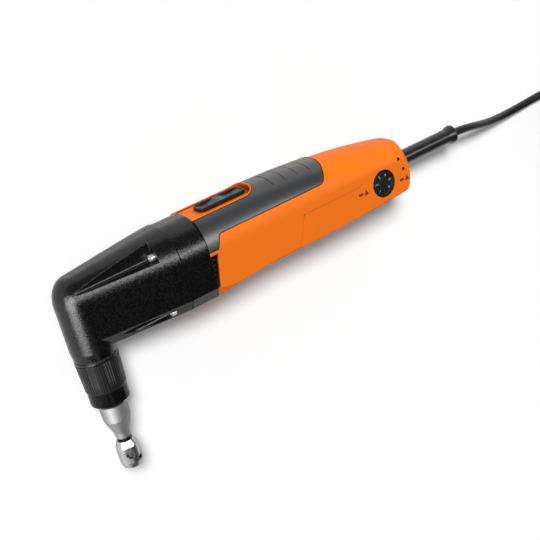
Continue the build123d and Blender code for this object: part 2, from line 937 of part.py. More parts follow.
# Eccentric shaft with its roller, gear and pair of bearings
pin_front = -roller_width / 2
journal_start = roller_width / 2 + 2 * air
gear_end = second_stage + gear_face
with BuildPart() as eccentric_shaft:
    with BuildSketch(cross.offset(journal_start)):
        Circle(journal_radius)
    extrude(amount=gear_end + pinion_overlap - journal_start)
    with BuildSketch(cross.offset(pin_front)):
        with Locations((-eccentric_throw, 0)):
            Circle(eccentric_pin)
    extrude(amount=journal_start - pin_front)
keep(eccentric_shaft, "eccentric_shaft")

roller_cross = Plane(origin=datum + Vector(0, 0, eccentric_throw), x_dir=(0, 0, -1), z_dir=(1, 0, 0))
with BuildPart() as eccentric_roller:
    roller_ring = ring_sketch(roller_cross.offset(pin_front), roller_radius, eccentric_pin + seat)
    extrude(roller_ring, amount=roller_width)
keep(eccentric_roller, "eccentric_roller")

with BuildPart() as eccentric_gear:
    extrude(gear_sketch(cross.offset(second_stage), eccentric_teeth, 90), amount=gear_face)
    with BuildSketch(cross.offset(second_stage)):
        Circle(journal_radius + seat)
    extrude(amount=gear_face, mode=Mode.SUBTRACT)
keep(eccentric_gear, "eccentric_gear")

with BuildPart() as eccentric_bearings:
    for start in (bearing_start + air, chamber_front - bearing_width):
        revolve(bearing_sketch(start, bearing_width, journal_radius + running), axis=motor_axis)
keep(eccentric_bearings, "eccentric_bearings")

# Layshaft: the small drive pinion is cut on the shaft, the large gear pressed on
layshaft_start = chamber_front - bush_length + air
with BuildPart() as layshaft:
    with BuildSketch(lay_cross.offset(layshaft_start)):
        Circle(layshaft_radius)
    extrude(amount=head_length + bush_length - air - layshaft_start)
    extrude(
        gear_sketch(lay_cross.offset(second_stage - pinion_overlap), drive_teeth, 270 + 180 / drive_teeth),
        amount=gear_face + 2 * pinion_overlap,
    )
keep(layshaft, "layshaft")

with BuildPart() as layshaft_gear:
    extrude(
        gear_sketch(lay_cross.offset(first_stage), layshaft_teeth, 270 + 180 / layshaft_teeth),
        amount=gear_face,
    )
    with BuildSketch(lay_cross.offset(first_stage)):
        Circle(layshaft_radius + seat)
    extrude(amount=gear_face, mode=Mode.SUBTRACT)
keep(layshaft_gear, "layshaft_gear")

with BuildPart() as layshaft_bushes:
    for start in (chamber_front - bush_length, head_length):
        bush_ring = ring_sketch(lay_cross.offset(start), bush_outer, layshaft_radius + running)
        extrude(bush_ring, amount=bush_length)
keep(layshaft_bushes, "layshaft_bushes")

# Rotor: shaft with its pinion, laminated core, windings, commutator and fan
pinion_start = first_stage - pinion_overlap
pinion_end = first_stage + gear_face + pinion_overlap
stack_end = stack_start + stack_length
bearing_end = head_length + ring_web
with BuildPart() as rotor_shaft:
    with BuildSketch(cross.offset(pinion_end)):
        Circle(shaft_radius)
    extrude(amount=bridge_start + bearing_width - pinion_end)
    extrude(gear_sketch(cross.offset(pinion_start), rotor_teeth, 90), amount=pinion_end - pinion_start)
keep(rotor_shaft, "rotor_shaft")

with BuildPart() as rotor_core:
    with BuildSketch(cross.offset(stack_start)):
        Circle(rotor_radius)
        Circle(shaft_radius + seat, mode=Mode.SUBTRACT)
        with PolarLocations(rotor_radius - slot_depth / 2, rotor_slots):
            Rectangle(slot_depth, slot_width, mode=Mode.SUBTRACT)
    extrude(amount=stack_length)
keep(rotor_core, "rotor_core")

with BuildPart() as rotor_windings:
    for face, out in ((stack_start, -1), (stack_end, 1)):
        with BuildSketch(side):
            with BuildLine():
                Polyline(
                    (face + out * seat, shaft_radius + seat),
                    (face + out * seat, rotor_radius - 2 * air),
                    (face + out * winding_overhang / 2, rotor_radius - 2 * air),
                    (face + out * winding_overhang, rotor_radius - winding_thickness),
                    (face + out * winding_overhang, shaft_radius + seat),
                    close=True,
                )
            make_face()
        revolve(axis=motor_axis)
keep(rotor_windings, "rotor_windings")

with BuildPart() as commutator:
    with BuildSketch(cross.offset(commutator_start)):
        Circle(commutator_radius)
        Circle(shaft_radius + seat, mode=Mode.SUBTRACT)
        with PolarLocations(commutator_radius, commutator_bars):
            Rectangle(2 * air, 2 * air, mode=Mode.SUBTRACT)
    extrude(amount=commutator_length)
keep(commutator, "commutator")

with BuildPart() as cooling_fan:
    with BuildSketch(cross.offset(fan_start)):
        Circle(shaft_radius + 2 * wall)
        Circle(shaft_radius + seat, mode=Mode.SUBTRACT)
        with PolarLocations((fan_radius + shaft_radius + wall) / 2, fan_blades):
            Rectangle(fan_radius - shaft_radius - wall - air, blade_thickness)
    extrude(amount=fan_width)
    plate_ring = ring_sketch(cross.offset(fan_start + fan_width), fan_radius, shaft_radius + seat)
    extrude(plate_ring, amount=-fan_plate)
keep(cooling_fan, "cooling_fan")

# Bearings of the rotor and the bridge that holds the rear one
with BuildPart() as front_bearing:
    front_ring = bearing_sketch(bearing_end - bearing_width, bearing_width, shaft_radius + running)
    revolve(front_ring, axis=motor_axis)
keep(front_bearing, "front_bearing")

with BuildPart() as rear_bearing:
    revolve(bearing_sketch(bridge_start, bearing_width, shaft_radius + running), axis=motor_axis)
keep(rear_bearing, "rear_bearing")

bridge_end = bridge_start + bridge_thickness
rod_base = stator_height + air
bridge_top, bridge_depth, bridge_bevel = form_at(bridge_end)
with BuildPart() as bearing_bridge:
    extrude(
        arch_section(
            cross.offset(bridge_start),
            half_width - wall - air,
            bridge_top - cavity_dip - wall - air,
            bridge_depth - wall - air,
            bridge_bevel,
        ),
        amount=bridge_thickness,
    )
    with BuildSketch(cross.offset(bridge_start)):
        Circle(bearing_outer + seat)
    extrude(amount=bearing_width + seat, mode=Mode.SUBTRACT)
    with BuildSketch(cross.offset(bridge_start)):
        Circle(shaft_radius + 2 * air)
        with Locations((0, rod_base + arch_height / 2 - air)):
            Rectangle(slide_rod_width + 2 * air, arch_height)
    extrude(amount=bridge_thickness, mode=Mode.SUBTRACT)
keep(bearing_bridge, "bearing_bridge")

# Stator: a lamination stack with flats above and below, and two field coils
window_centre = stator_height - coil_side / 2 - air
with BuildPart() as stator_core:
    with BuildSketch(cross.offset(stack_start)):
        Circle(half_width - wall - seat)
        Rectangle(2 * half_width, 2 * stator_height, mode=Mode.INTERSECT)
        Circle(rotor_radius + air_gap, mode=Mode.SUBTRACT)
        with GridLocations(2 * window_centre, coil_spread, 2, 2):
            Rectangle(coil_side + 2 * seat, coil_side + 2 * seat, mode=Mode.SUBTRACT)
    extrude(amount=stack_length)
keep(stator_core, "stator_core")

with BuildPart() as stator_windings:
    with BuildSketch(cross.offset(stack_start - winding_overhang)):
        with GridLocations(2 * window_centre, coil_spread, 2, 2):
            Rectangle(coil_side, coil_side)
    extrude(amount=stack_length + 2 * winding_overhang)
    for face in (stack_start - winding_overhang, stack_end + seat):
        with BuildSketch(cross.offset(face)):
            Circle(window_centre + coil_side / 2)
            Circle(window_centre - coil_side / 2, mode=Mode.SUBTRACT)
            Rectangle(3 * half_width, coil_spread - coil_side, mode=Mode.SUBTRACT)
        extrude(amount=winding_overhang - seat)
keep(stator_windings, "stator_windings")

# Brushes in their holders, pressed on the commutator by leaf springs
brush_x = commutator_start + commutator_length / 2
brush_foot = commutator_radius + running
brush_back = brush_foot + brush_length
holder_tab = brush_height / 2 + holder_wall
with BuildPart() as brush_holders:
    for flip in (-1, 1):
        with BuildSketch(side.offset(flip * (brush_foot + holder_wall))):
            with Locations((brush_x, 0)):
                Rectangle(brush_width + 2 * holder_wall, brush_height + 2 * holder_wall)
                Rectangle(brush_width + 2 * seat, brush_height + 2 * seat, mode=Mode.SUBTRACT)
            with Locations(((brush_x + brush_width / 2 + seat + bridge_start) / 2, 0)):
                Rectangle(bridge_start - brush_x - brush_width / 2 - seat, brush_height + 2 * holder_wall)
        extrude(amount=flip * (brush_length - 2 * holder_wall))
keep(brush_holders, "brush_holders")

with BuildPart() as carbon_brushes:
    for flip in (-1, 1):
        with BuildSketch(side.offset(flip * brush_foot)):
            with Locations((brush_x, 0)):
                Rectangle(brush_width, brush_height)
        extrude(amount=flip * brush_length)
keep(carbon_brushes, "carbon_brushes")

spring_bend = brush_x + brush_width / 2 + holder_wall + spring_strip
spring_foot = brush_back + seat - holder_wall
with BuildPart() as brush_springs:
    for flip in (-1, 1):
        with BuildSketch(plan.offset(-brush_height / 2)):
            with BuildLine():
                Polyline(
                    (brush_x - brush_width / 2, flip * (brush_back + seat)),
                    (spring_bend, flip * (brush_back + seat)),
                    (spring_bend, flip * spring_foot),
                    (bridge_start - seat, flip * spring_foot),
                    (bridge_start - seat, flip * (spring_foot + spring_strip)),
                    (spring_bend + spring_strip, flip * (spring_foot + spring_strip)),
                    (spring_bend + spring_strip, flip * (brush_back + seat + spring_strip)),
                    (brush_x - brush_width / 2, flip * (brush_back + seat + spring_strip)),
                    close=True,
                )
            make_face()
        extrude(amount=brush_height)
keep(brush_springs, "brush_springs")

# Slide switch: a two-way button on a stem, its rod, and the switch it pushes
button_base = recess_floor + air
button_top = button_height
button_front = button_centre - button_length / 2
button_back = button_centre + button_length / 2
with BuildPart() as switch_slider:
    with BuildSketch(plan.offset(button_base)):
        with Locations((button_centre, 0)):
            RectangleRounded(button_length, button_width, button_corner)
    extrude(amount=button_top - button_base)
    with BuildSketch(side.offset(-button_width)):
        for start, end in (
            (button_front, button_centre - button_ridge / 2),
            (button_centre + button_ridge / 2, button_back),
        ):
            with BuildLine():
                middle = (start + end) / 2
                ThreePointArc((start, button_top), (middle, button_top - scoop_depth), (end, button_top))
                Line((end, button_top), (start, button_top))
            make_face()
    extrude(amount=2 * button_width, mode=Mode.SUBTRACT)
    with BuildSketch(plan.offset(rod_top)):
        with Locations((button_centre, 0)):
            Rectangle(stem_length, stem_width)
    extrude(amount=button_base - rod_top)
keep(switch_slider, "switch_slider")

rod_back = bridge_end + switch_block_length * 2 / 3
with BuildPart() as switch_rod:
    with BuildSketch(plan.offset(rod_base)):
        with Locations(((button_centre - stem_length / 2 + rod_back) / 2, 0)):
            Rectangle(rod_back - button_centre + stem_length / 2, slide_rod_width)
    extrude(amount=slide_rod_thickness)
keep(switch_rod, "switch_rod")

with BuildPart() as switch_block:
    with BuildSketch(cross.offset(bridge_end + seat)):
        with Locations((0, rod_base - air - switch_block_height / 2)):
            Rectangle(switch_block_width, switch_block_height)
    extrude(amount=switch_block_length)
keep(switch_block, "switch_block")

# Speed dial in its cup, on a shaft that turns the control behind it
dial_top = half_width - dial_sink
control_top = half_width - cup_depth - cup_floor - air
with BuildPart() as speed_dial:
    with BuildSketch(side.offset(dial_top - dial_thickness)):
        with Locations((dial_x, -dial_drop)):
            Circle(dial_radius)
            with PolarLocations(dial_radius, dial_scallops):
                Circle(scallop_radius, mode=Mode.SUBTRACT)
    extrude(amount=dial_thickness)
    with BuildSketch(side.offset(dial_top - dial_dish)):
        with Locations((dial_x, -dial_drop)):
            Circle(dial_radius - 2 * scallop_radius)
            Circle(dial_knob_radius, mode=Mode.SUBTRACT)
    extrude(amount=dial_dish, mode=Mode.SUBTRACT)
keep(speed_dial, "speed_dial")

with BuildPart() as dial_shaft:
    with BuildSketch(side.offset(control_top + running)):
        with Locations((dial_x, -dial_drop)):
            Circle(dial_shaft_radius)
    extrude(amount=dial_top - dial_thickness - control_top - running)
keep(dial_shaft, "dial_shaft")

with BuildPart() as speed_control:
    with BuildSketch(side.offset(control_top)):
        with Locations((dial_x, -dial_drop)):
            RectangleRounded(control_length, control_height, wall)
    extrude(amount=-control_depth)
keep(speed_control, "speed_control")

# Cord entry: the cord's held end, its boot, and the clamp bar with two screws
cord_radius = cord_diameter / 2
clamp_base = cord_radius + seat
with BuildPart() as cord_tail:
    with BuildSketch(cord_cross.offset(clamp_x - clamp_width)):
        Circle(cord_radius)
    extrude(amount=boot_end + lead_points[0][0] - clamp_x + clamp_width)
keep(cord_tail, "cord_tail")

with BuildPart() as cord_boot:
    with BuildSketch(cord_side):
        with BuildLine():
            Polyline(
                (room_end - boot_flange_thickness, cord_radius + seat),
                (room_end - boot_flange_thickness, boot_flange),
                (room_end - seat, boot_flange),
                (room_end - seat, boot_radius),
                (boot_end - boot_lip_length, boot_radius),
                (boot_end - 3 * boot_lip_round, boot_lip),
                (boot_end - boot_lip_round, boot_lip),
                (boot_end, boot_lip - boot_lip_round),
                (boot_end, cord_radius + seat),
                close=True,
            )
        make_face()
    revolve(axis=cord_axis)
keep(cord_boot, "cord_boot")

with BuildPart() as cord_clamp:
    with BuildSketch(cord_side.offset(clamp_base)):
        with Locations((clamp_x, 0)):
            Rectangle(clamp_width, 2 * clamp_half_span)
            with GridLocations(0, 2 * clamp_half_span - clamp_width, 1, 2):
                Circle(clamp_screw_radius + seat, mode=Mode.SUBTRACT)
    extrude(amount=clamp_thickness)
keep(cord_clamp, "cord_clamp")

with BuildPart() as clamp_screws:
    with BuildSketch(cord_side.offset(clamp_base + clamp_thickness)):
        with Locations((clamp_x, 0)):
            with GridLocations(0, 2 * clamp_half_span - clamp_width, 1, 2):
                Circle(clamp_screw_radius)
    extrude(amount=-clamp_screw_length)
    with BuildSketch(cord_side.offset(clamp_base + clamp_thickness)):
        with Locations((clamp_x, 0)):
            with GridLocations(0, 2 * clamp_half_span - clamp_width, 1, 2):
                Circle(2 * clamp_screw_radius)
    extrude(amount=clamp_screw_radius)
keep(clamp_screws, "clamp_screws")

# Mains cord, the stretch that lies free: out of the boot, down to the bench and
# along it, through places chosen by hand
bench = -half_width
lead_places = [cord_datum + Vector(boot_end + x, y, z) for x, y, z in lead_points]
lead_radii = []
for before, corner, after in zip(lead_places, lead_places[1:], lead_places[2:]):
    turn = radians((corner - before).get_angle(after - corner))
    lead_radii.append(run_share * min((corner - before).length, (after - corner).length) / tan(turn / 2))
print("lead bends, mm:", [round(radius) for radius in lead_radii])
with BuildPart() as cord_lead:
    with BuildLine() as lead_line:
        FilletPolyline(*lead_places, radius=lead_radii)
    with BuildSketch(Plane(origin=lead_places[0], x_dir=(0, 0, -1), z_dir=(1, 0, 0))):
        Circle(cord_radius)
    sweep()
keep(cord_lead, "cord_lead")

# The rest of the cord, put away: a flat spiral that winds in and out in layers,
# climbs at each reversal, and comes down beside the pile to the plug
coil_outer = coil_inner + coil_pitch * layer_turns
coil_base = bench + cord_radius + tie_gap + tie_thickness
coil_top = coil_base + layer_rise * (coil_layers - 1)
coil_centre = Vector(lead_places[-1].X + cord_diameter, lead_places[-1].Y - coil_outer, datum.Z)
wound_turns = layer_turns * coil_layers
all_turns = wound_turns + out_turn + drop_turn
plug_height = bench + plug_half_height + air


def ease(share):
    """Smooth step from 0 to 1."""
    share = min(max(share, 0), 1)
    return share * share * (3 - 2 * share)


def coil_place(turns):
    """Point of the coil's line after a number of turns."""
    swing = abs(min(turns, wound_turns) / layer_turns % 2 - 1)
    out = ease((turns - wound_turns) / out_turn)
    drop = (turns - wound_turns - out_turn) / drop_turn
    radius = coil_inner + (coil_outer - coil_inner) * swing + coil_pitch * out + plug_swing * ease(drop)
    climbs = [ease((turns - layer * layer_turns) / climb_turn + 1 / 2) for layer in range(1, coil_layers)]
    height = coil_base + layer_rise * sum(climbs) + (plug_height - coil_top) * ease(drop)
    angle = pi / 2 - 2 * pi * turns
    return coil_centre + Vector(radius * cos(angle), radius * sin(angle), height)


def coil_heading(turns):
    """Direction of the coil's line, level at its two ends."""
    if turns in (0, all_turns):
        angle = -2 * pi * turns
        return Vector(cos(angle), sin(angle), 0)
    step = climb_turn / 50
    return (coil_place(turns + step) - coil_place(turns - step)).normalized()


stops = [0]
for layer in range(1, coil_layers + 1):
    spiral_end = layer * layer_turns - (climb_turn / 2 if layer < coil_layers else 0)
    steps = ceil((spiral_end - stops[-1]) / climb_turn)
    stops += [stops[-1] + (spiral_end - stops[-1]) * (count + 1) / steps for count in range(steps)]
    if layer < coil_layers:
        stops += [spiral_end + climb_turn / 2, spiral_end + climb_turn]
stops += [wound_turns + out_turn, wound_turns + out_turn + drop_turn / 2, all_turns]
coil_end = coil_place(all_turns) + coil_heading(all_turns) * cord_diameter
with BuildPart() as cord_coil:
    with BuildLine() as coil_line:
        Line(coil_place(0) - coil_heading(0) * cord_diameter, coil_place(0))
        for first, last in zip(stops, stops[1:]):
            start, end = coil_place(first), coil_place(last)
            leave, arrive = coil_heading(first), coil_heading(last)
            chord = end - start
            pull = chord.dot(leave + arrive)
            spread = 2 * (1 - leave.dot(arrive))
            reach = ((pull * pull + spread * chord.dot(chord)) ** 0.5 - pull) / spread
            joint = (start + leave * reach + end - arrive * reach) / 2
            arc = TangentArc(start, joint, tangent=leave)
            TangentArc(joint, end, tangent=arc % 1)
        Line(coil_place(all_turns), coil_end)
    with BuildSketch(Plane(origin=lead_places[-1], x_dir=(0, 0, -1), z_dir=(1, 0, 0))):
        Circle(cord_radius)
    sweep()
keep(cord_coil, "cord_coil")

samples = []
for edge in coil_line.edges():
    count = ceil(edge.length / sample_step)
    samples += [tuple(edge.position_at(step / count)) for step in range(count)]
skip = ceil(pi * coil_inner / sample_step)
least = min(dist(point, other) for step, point in enumerate(samples) for other in samples[step + skip :])
print("coil's least gap to itself, mm:", round(least - cord_diameter, 2))
cord_length = lead_line.wire().length + coil_line.wire().length
section_area = pi * cord_radius * cord_radius
print("cord outside the tool, mm:", round(cord_length))
print("lead volume share:", round(cord_lead.part.volume / (section_area * lead_line.wire().length), 4))
print("coil volume share:", round(cord_coil.part.volume / (section_area * coil_line.wire().length), 4))

# A tie round the coil's bundle
tie_angle_turn = radians(tie_angle)
tie_inner = (coil_inner * coil_inner - tie_width * tie_width / 4) ** 0.5 - cord_radius - tie_gap
tie_outer = coil_outer + cord_radius + tie_gap
tie_low = coil_base - cord_radius - tie_gap
tie_high = coil_top + cord_radius + tie_gap
tie_plane = Plane(
    origin=coil_centre,
    x_dir=(cos(tie_angle_turn), sin(tie_angle_turn), 0),
    z_dir=(sin(tie_angle_turn), -cos(tie_angle_turn), 0),
)
with BuildPart() as cord_tie:
    with BuildSketch(tie_plane):
        with Locations(((tie_inner + tie_outer) / 2, (tie_low + tie_high) / 2)):
            RectangleRounded(
                tie_outer - tie_inner + 2 * tie_thickness,
                tie_high - tie_low + 2 * tie_thickness,
                cord_radius + tie_thickness,
            )
            RectangleRounded(tie_outer - tie_inner, tie_high - tie_low, cord_radius, mode=Mode.SUBTRACT)
    extrude(amount=tie_width / 2, both=True)
keep(cord_tie, "cord_tie")

# Plug: a moulded body that swells from its neck to a flat face, and two pins
plug_plane = Plane(origin=coil_end, x_dir=(1, 0, 0), z_dir=coil_heading(all_turns))
plug_face = plug_plane.offset(plug_neck + plug_length)
with BuildPart() as plug_body:
    for along, half, height in (
        (0, plug_neck_radius, plug_neck_radius),
        (plug_neck, plug_neck_radius + air, plug_neck_radius + air),
        (plug_neck + plug_length / 3, plug_half_width, plug_half_height),
        (plug_neck + plug_length, plug_half_width, plug_half_height),
    ):
        with BuildSketch(plug_plane.offset(along)):
            RectangleRounded(2 * half, 2 * height, height - air)
    loft(ruled=True)
keep(plug_body, "plug_body")

with BuildPart() as plug_pins:
    with BuildSketch(plug_face):
        with GridLocations(pin_spacing, 0, 2, 1):
            Circle(pin_radius)
    extrude(amount=pin_length)
keep(plug_pins, "plug_pins")
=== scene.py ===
from math import atan2, cos, pi, sin

import bmesh
import bpy
from mathutils import Matrix, Vector


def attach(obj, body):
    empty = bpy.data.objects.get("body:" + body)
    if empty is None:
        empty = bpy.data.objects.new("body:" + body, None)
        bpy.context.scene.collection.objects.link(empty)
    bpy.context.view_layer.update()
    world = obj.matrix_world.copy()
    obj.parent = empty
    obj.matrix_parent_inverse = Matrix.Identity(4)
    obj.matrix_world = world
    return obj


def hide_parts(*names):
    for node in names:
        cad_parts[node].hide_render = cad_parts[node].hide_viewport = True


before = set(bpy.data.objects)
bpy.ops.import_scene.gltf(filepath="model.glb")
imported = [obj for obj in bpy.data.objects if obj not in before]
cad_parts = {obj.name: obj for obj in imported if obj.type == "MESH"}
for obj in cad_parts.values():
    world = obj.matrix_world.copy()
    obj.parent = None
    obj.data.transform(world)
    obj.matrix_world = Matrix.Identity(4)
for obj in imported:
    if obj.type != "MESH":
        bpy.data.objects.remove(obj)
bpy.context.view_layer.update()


# Gear head: a cast light-alloy casing with a round back, flat sides and the neck for the
# nozzle. It is powder coated black, which leaves a fine grain that breaks up the highlights.
class Shade:
    """A shader value of one material. Operators on it add Math nodes to that material."""

    def __init__(self, tree, socket=None):
        self.tree = tree
        self.socket = socket

    def node(self, kind, settings=(), inputs=(), output=0):
        """Add a node, set it up, feed its sockets and give back one of its outputs."""
        made = self.tree.nodes.new("ShaderNode" + kind)
        for name, value in dict(settings).items():
            setattr(made, name, value)
        for name, value in dict(inputs).items():
            if isinstance(value, Shade):
                self.tree.links.new(value.socket, made.inputs[name])
            else:
                made.inputs[name].default_value = value
        return Shade(self.tree, made.outputs[output])

    def maths(self, operation, first, second):
        """Add a Math node of two values."""
        return self.node("Math", {"operation": operation}, {0: first, 1: second})

    def __add__(self, other):
        return self.maths("ADD", self, other)

    def __radd__(self, other):
        return self.maths("ADD", other, self)

    def __sub__(self, other):
        return self.maths("SUBTRACT", self, other)

    def __rsub__(self, other):
        return self.maths("SUBTRACT", other, self)

    def __mul__(self, other):
        return self.maths("MULTIPLY", self, other)

    def __rmul__(self, other):
        return self.maths("MULTIPLY", other, self)

    def span(self, low, high):
        """0 up to low, 1 from high, and a smooth step between them."""
        settings = {"interpolation_type": "SMOOTHSTEP"}
        return self.node("MapRange", settings, {"Value": self, "From Min": low, "From Max": high})

    def mix(self, low, high):
        """Colour between two colours, by this value."""
        ends = [end if isinstance(end, Shade) else (*end, 1.0) for end in (low, high)]
        return self.node("Mix", {"data_type": "RGBA"}, {0: self, 6: ends[0], 7: ends[1]}, output=2)


def start_finish(name):
    """A new material: the material, its tree and the place on the piece in metres."""
    made = bpy.data.materials.new(name)
    made.use_nodes = True
    tree = Shade(made.node_tree)
    return made, tree, tree.node("TexCoord", output="Object")


def set_surface(material, sockets):
    """Feed the main shader's sockets with numbers or shades."""
    tree = material.node_tree
    shader = tree.nodes["Principled BSDF"]
    for name, value in sockets.items():
        if isinstance(value, Shade):
            tree.links.new(value.socket, shader.inputs[name])
        else:
            shader.inputs[name].default_value = value


def dress(material, *names):
    """Give CAD pieces a finish."""
    for name in names:
        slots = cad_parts[name].data.materials
        slots.clear()
        slots.append(material)


def noise(tree, place, scale, detail, roughness=0.5):
    """Cloudy noise over the piece."""
    inputs = {"Vector": place, "Scale": scale, "Detail": detail, "Roughness": roughness}
    return tree.node("TexNoise", (), inputs)


def bumped(tree, height, strength, distance, normal=None):
    """The way the face points once a height has been laid over it."""
    inputs = {"Strength": strength, "Distance": distance, "Height": height}
    if normal:
        inputs["Normal"] = normal
    return tree.node("Bump", (), inputs)


def rounded_edge(tree, radius, samples):
    """The way the face points with its edges rounded off."""
    return tree.node("Bevel", {"samples": samples}, {"Radius": radius})


def rubbed_edge(tree, rounded):
    """0 on plain faces and up to 1 on edges, from how far the rounding turns the face."""
    plain = tree.node("NewGeometry", output="Normal")
    settings = {"operation": "DOT_PRODUCT"}
    alike = tree.node("VectorMath", settings, {0: rounded, 1: plain}, output="Value")
    return (1 - alike).span(0.02, 0.25)


def tinted(tone, share):
    """A colour made lighter or darker."""
    return [part * share for part in tone]


def powder_coat(name, tone, grain_depth):
    """Black coating with a fine, slightly uneven grain, lighter and a little less rough along its
    edges.
    """
    made, tree, place = start_finish(name)
    grain = noise(tree, place, scale=640.0, detail=4.0, roughness=0.65)
    cloud = noise(tree, place, scale=60.0, detail=3.0)
    rounded = rounded_edge(tree, radius=0.0007, samples=8)
    coat_edge = rubbed_edge(tree, rounded)
    speckle = grain.span(0.38, 0.62)
    speckled = grain.mix(tinted(tone, 0.6), tinted(tone, 1.5))
    set_surface(
        made,
        {
            "Base Color": coat_edge.mix(speckled, tinted(tone, 3.0)),
            "Roughness": 0.16 + 0.03 * cloud + 0.12 * speckle - 0.04 * coat_edge,
            "Specular IOR Level": 0.45,
            "Normal": bumped(tree, grain, strength=0.6, distance=grain_depth, normal=rounded),
        },
    )
    return made


head_coat = powder_coat("head_coat", (0.0016, 0.0017, 0.002), grain_depth=0.00022)
dress(head_coat, "gear_housing")


# Head screws: four zinc-plated socket screws that sit at the ends of the driver channels
# and hold the head and the vent ring to the motor housing.
def bright_metal(name, tone, dull, line_scale, hollow_shade=0.06):
    """Machined metal with faint tool lines, duller patches and painted shade in holes and corners.
    """
    made, tree, place = start_finish(name)
    lines = noise(tree, place, scale=line_scale, detail=2.0)
    patch = noise(tree, place, scale=120.0, detail=4.0)
    rounded = rounded_edge(tree, radius=0.0003, samples=6)
    unshaded_share = tree.node("AmbientOcclusion", {"samples": 12}, {"Distance": 0.004}, output="AO")
    open_tone = patch.mix(tinted(tone, 0.85), tone)
    set_surface(
        made,
        {
            # Painted shade: the tone darkens in holes and corners.
            "Base Color": unshaded_share.span(0.25, 0.75).mix(tinted(tone, hollow_shade), open_tone),
            "Metallic": 1.0,
            "Roughness": dull + 0.1 * patch + 0.05 * lines,
            "Specular Tint": (0.45, 0.45, 0.45, 1.0),
            "Normal": bumped(tree, lines, strength=0.12, distance=0.0001, normal=rounded),
        },
    )
    return made


zinc_plate = bright_metal("zinc_plate", (0.95, 0.95, 0.95), dull=0.4, line_scale=2400.0, hollow_shade=0.9)
dress(zinc_plate, "gear_screws")

# Punch drive inside the head: a crank pin with a roller moves the plunger in its guide, and
# two gear stages slow the motor down. Guide and bushes are bronze, the rest is ground steel.
ground_steel = bright_metal("ground_steel", (0.56, 0.56, 0.57), dull=0.24, line_scale=3000.0)
dress(ground_steel, "plunger", "punch_screw", "eccentric_shaft", "eccentric_roller")
dress(ground_steel, "eccentric_gear", "eccentric_bearings", "layshaft", "layshaft_gear")
bearing_bronze = bright_metal("bearing_bronze", (0.55, 0.34, 0.15), dull=0.3, line_scale=1500.0)
dress(bearing_bronze, "plunger_guide", "layshaft_bushes")

# Clamp collar: a black-oxide steel nut with groups of gripping grooves and a plain glossy
# band below them. It holds the die carrier on the neck.
band_end, grip_start = -0.0137, -0.0131
nozzle_x, nozzle_z = -0.14675, 0.029
knurl_lines = 48
collar_oxide, oxide_tree, oxide_place = start_finish("collar_oxide")
oxide_smear = noise(oxide_tree, oxide_place, scale=260.0, detail=4.0)
oxide_fine = noise(oxide_tree, oxide_place, scale=1800.0, detail=1.0)
oxide_edge = rounded_edge(oxide_tree, radius=0.0005, samples=8)
oxide_edge_highlight = rubbed_edge(oxide_tree, oxide_edge)
oxide_across, oxide_along, oxide_high = [
    oxide_tree.node("SeparateXYZ", (), {0: oxide_place}, output=axis) for axis in "XYZ"
]
oxide_gripped = oxide_along.span(band_end, grip_start)
oxide_turn = oxide_tree.maths("ARCTAN2", oxide_high - nozzle_z, oxide_across - nozzle_x)
oxide_wave = oxide_tree.node("Math", {"operation": "COSINE"}, {0: knurl_lines * oxide_turn})
oxide_knurl = oxide_gripped * oxide_wave.span(0.1, 0.9)
oxide_ridge = oxide_knurl + 0.1 * oxide_fine
oxide_dark = oxide_smear.mix((0.002, 0.002, 0.0023), (0.006, 0.006, 0.0063))
# Painted highlights: the knurl lines are lighter, and the groove edges light grey.
oxide_lined = oxide_knurl.mix(oxide_dark, (0.02, 0.02, 0.02))
set_surface(
    collar_oxide,
    {
        "Base Color": (oxide_edge_highlight * oxide_gripped).mix(oxide_lined, (0.22, 0.22, 0.22)),
        "Roughness": 0.1 + 0.22 * oxide_gripped + 0.1 * oxide_smear,
        "Specular IOR Level": 0.2,
        "Normal": bumped(oxide_tree, oxide_ridge, strength=0.6, distance=0.0004, normal=oxide_edge),
    },
)
dress(collar_oxide, "clamp_collar")

# Die carrier: a turned steel barrel with a cone. The lathe leaves fine rings round it,
# so its lines follow the nozzle's axis, and a light blasting makes it satin.
ring_scale = (20.0, 9000.0, 20.0)
carrier_satin, satin_tree, satin_place = start_finish("carrier_satin")
satin_turned = satin_tree.node(
    "VectorMath", {"operation": "MULTIPLY"}, {0: satin_place, 1: ring_scale}
)
satin_rings = noise(satin_tree, satin_turned, scale=1.0, detail=3.0)
satin_patch = noise(satin_tree, satin_place, scale=300.0, detail=3.0)
satin_edge = rounded_edge(satin_tree, radius=0.0004, samples=6)
set_surface(
    carrier_satin,
    {
        "Base Color": satin_patch.mix((0.29, 0.29, 0.29), (0.41, 0.408, 0.404)),
        "Metallic": 1.0,
        "Roughness": 0.44 + 0.14 * satin_rings,
        "Specular Tint": (0.35, 0.35, 0.35, 1.0),
        "Normal": bumped(satin_tree, satin_rings, strength=0.2, distance=0.0001, normal=satin_edge),
    },
)
dress(carrier_satin, "die_carrier")

# Die: hardened tool steel, finely ground. It is open below and has a window in its side,
# where the punch shows.
dress(bright_metal("die_steel", (0.55, 0.55, 0.555), dull=0.2, line_scale=1800.0), "die")

# Punch guide and punch: tool steel, coloured near black. The guide is the tube that joins the die
# to its carrier, and its black is painted shade in the gap between them; the punch runs inside it.
guide_shade_black = bright_metal("guide_shade_black", (0.05, 0.05, 0.052), dull=0.3, line_scale=1800.0)
dress(guide_shade_black, "punch_guide", "punch")

# Motor inside the housing: ground shafts and bearings, stacked sheet cores, enamelled copper
# windings and carbon brushes in bronze holders. The fan, the bridge for the rear bearing, the
# switch parts and the cord's clamp are moulded.
dress(ground_steel, "rotor_shaft", "front_bearing", "rear_bearing", "brush_springs", "clamp_screws")


def bands(tree, place, direction, scale, distortion=0.0):
    """Soft parallel bands over the piece, from 0 to 1."""
    settings = {"wave_type": "BANDS", "bands_direction": direction}
    inputs = {"Vector": place, "Scale": scale, "Distortion": distortion}
    return tree.node("TexWave", settings, inputs, output="Fac")


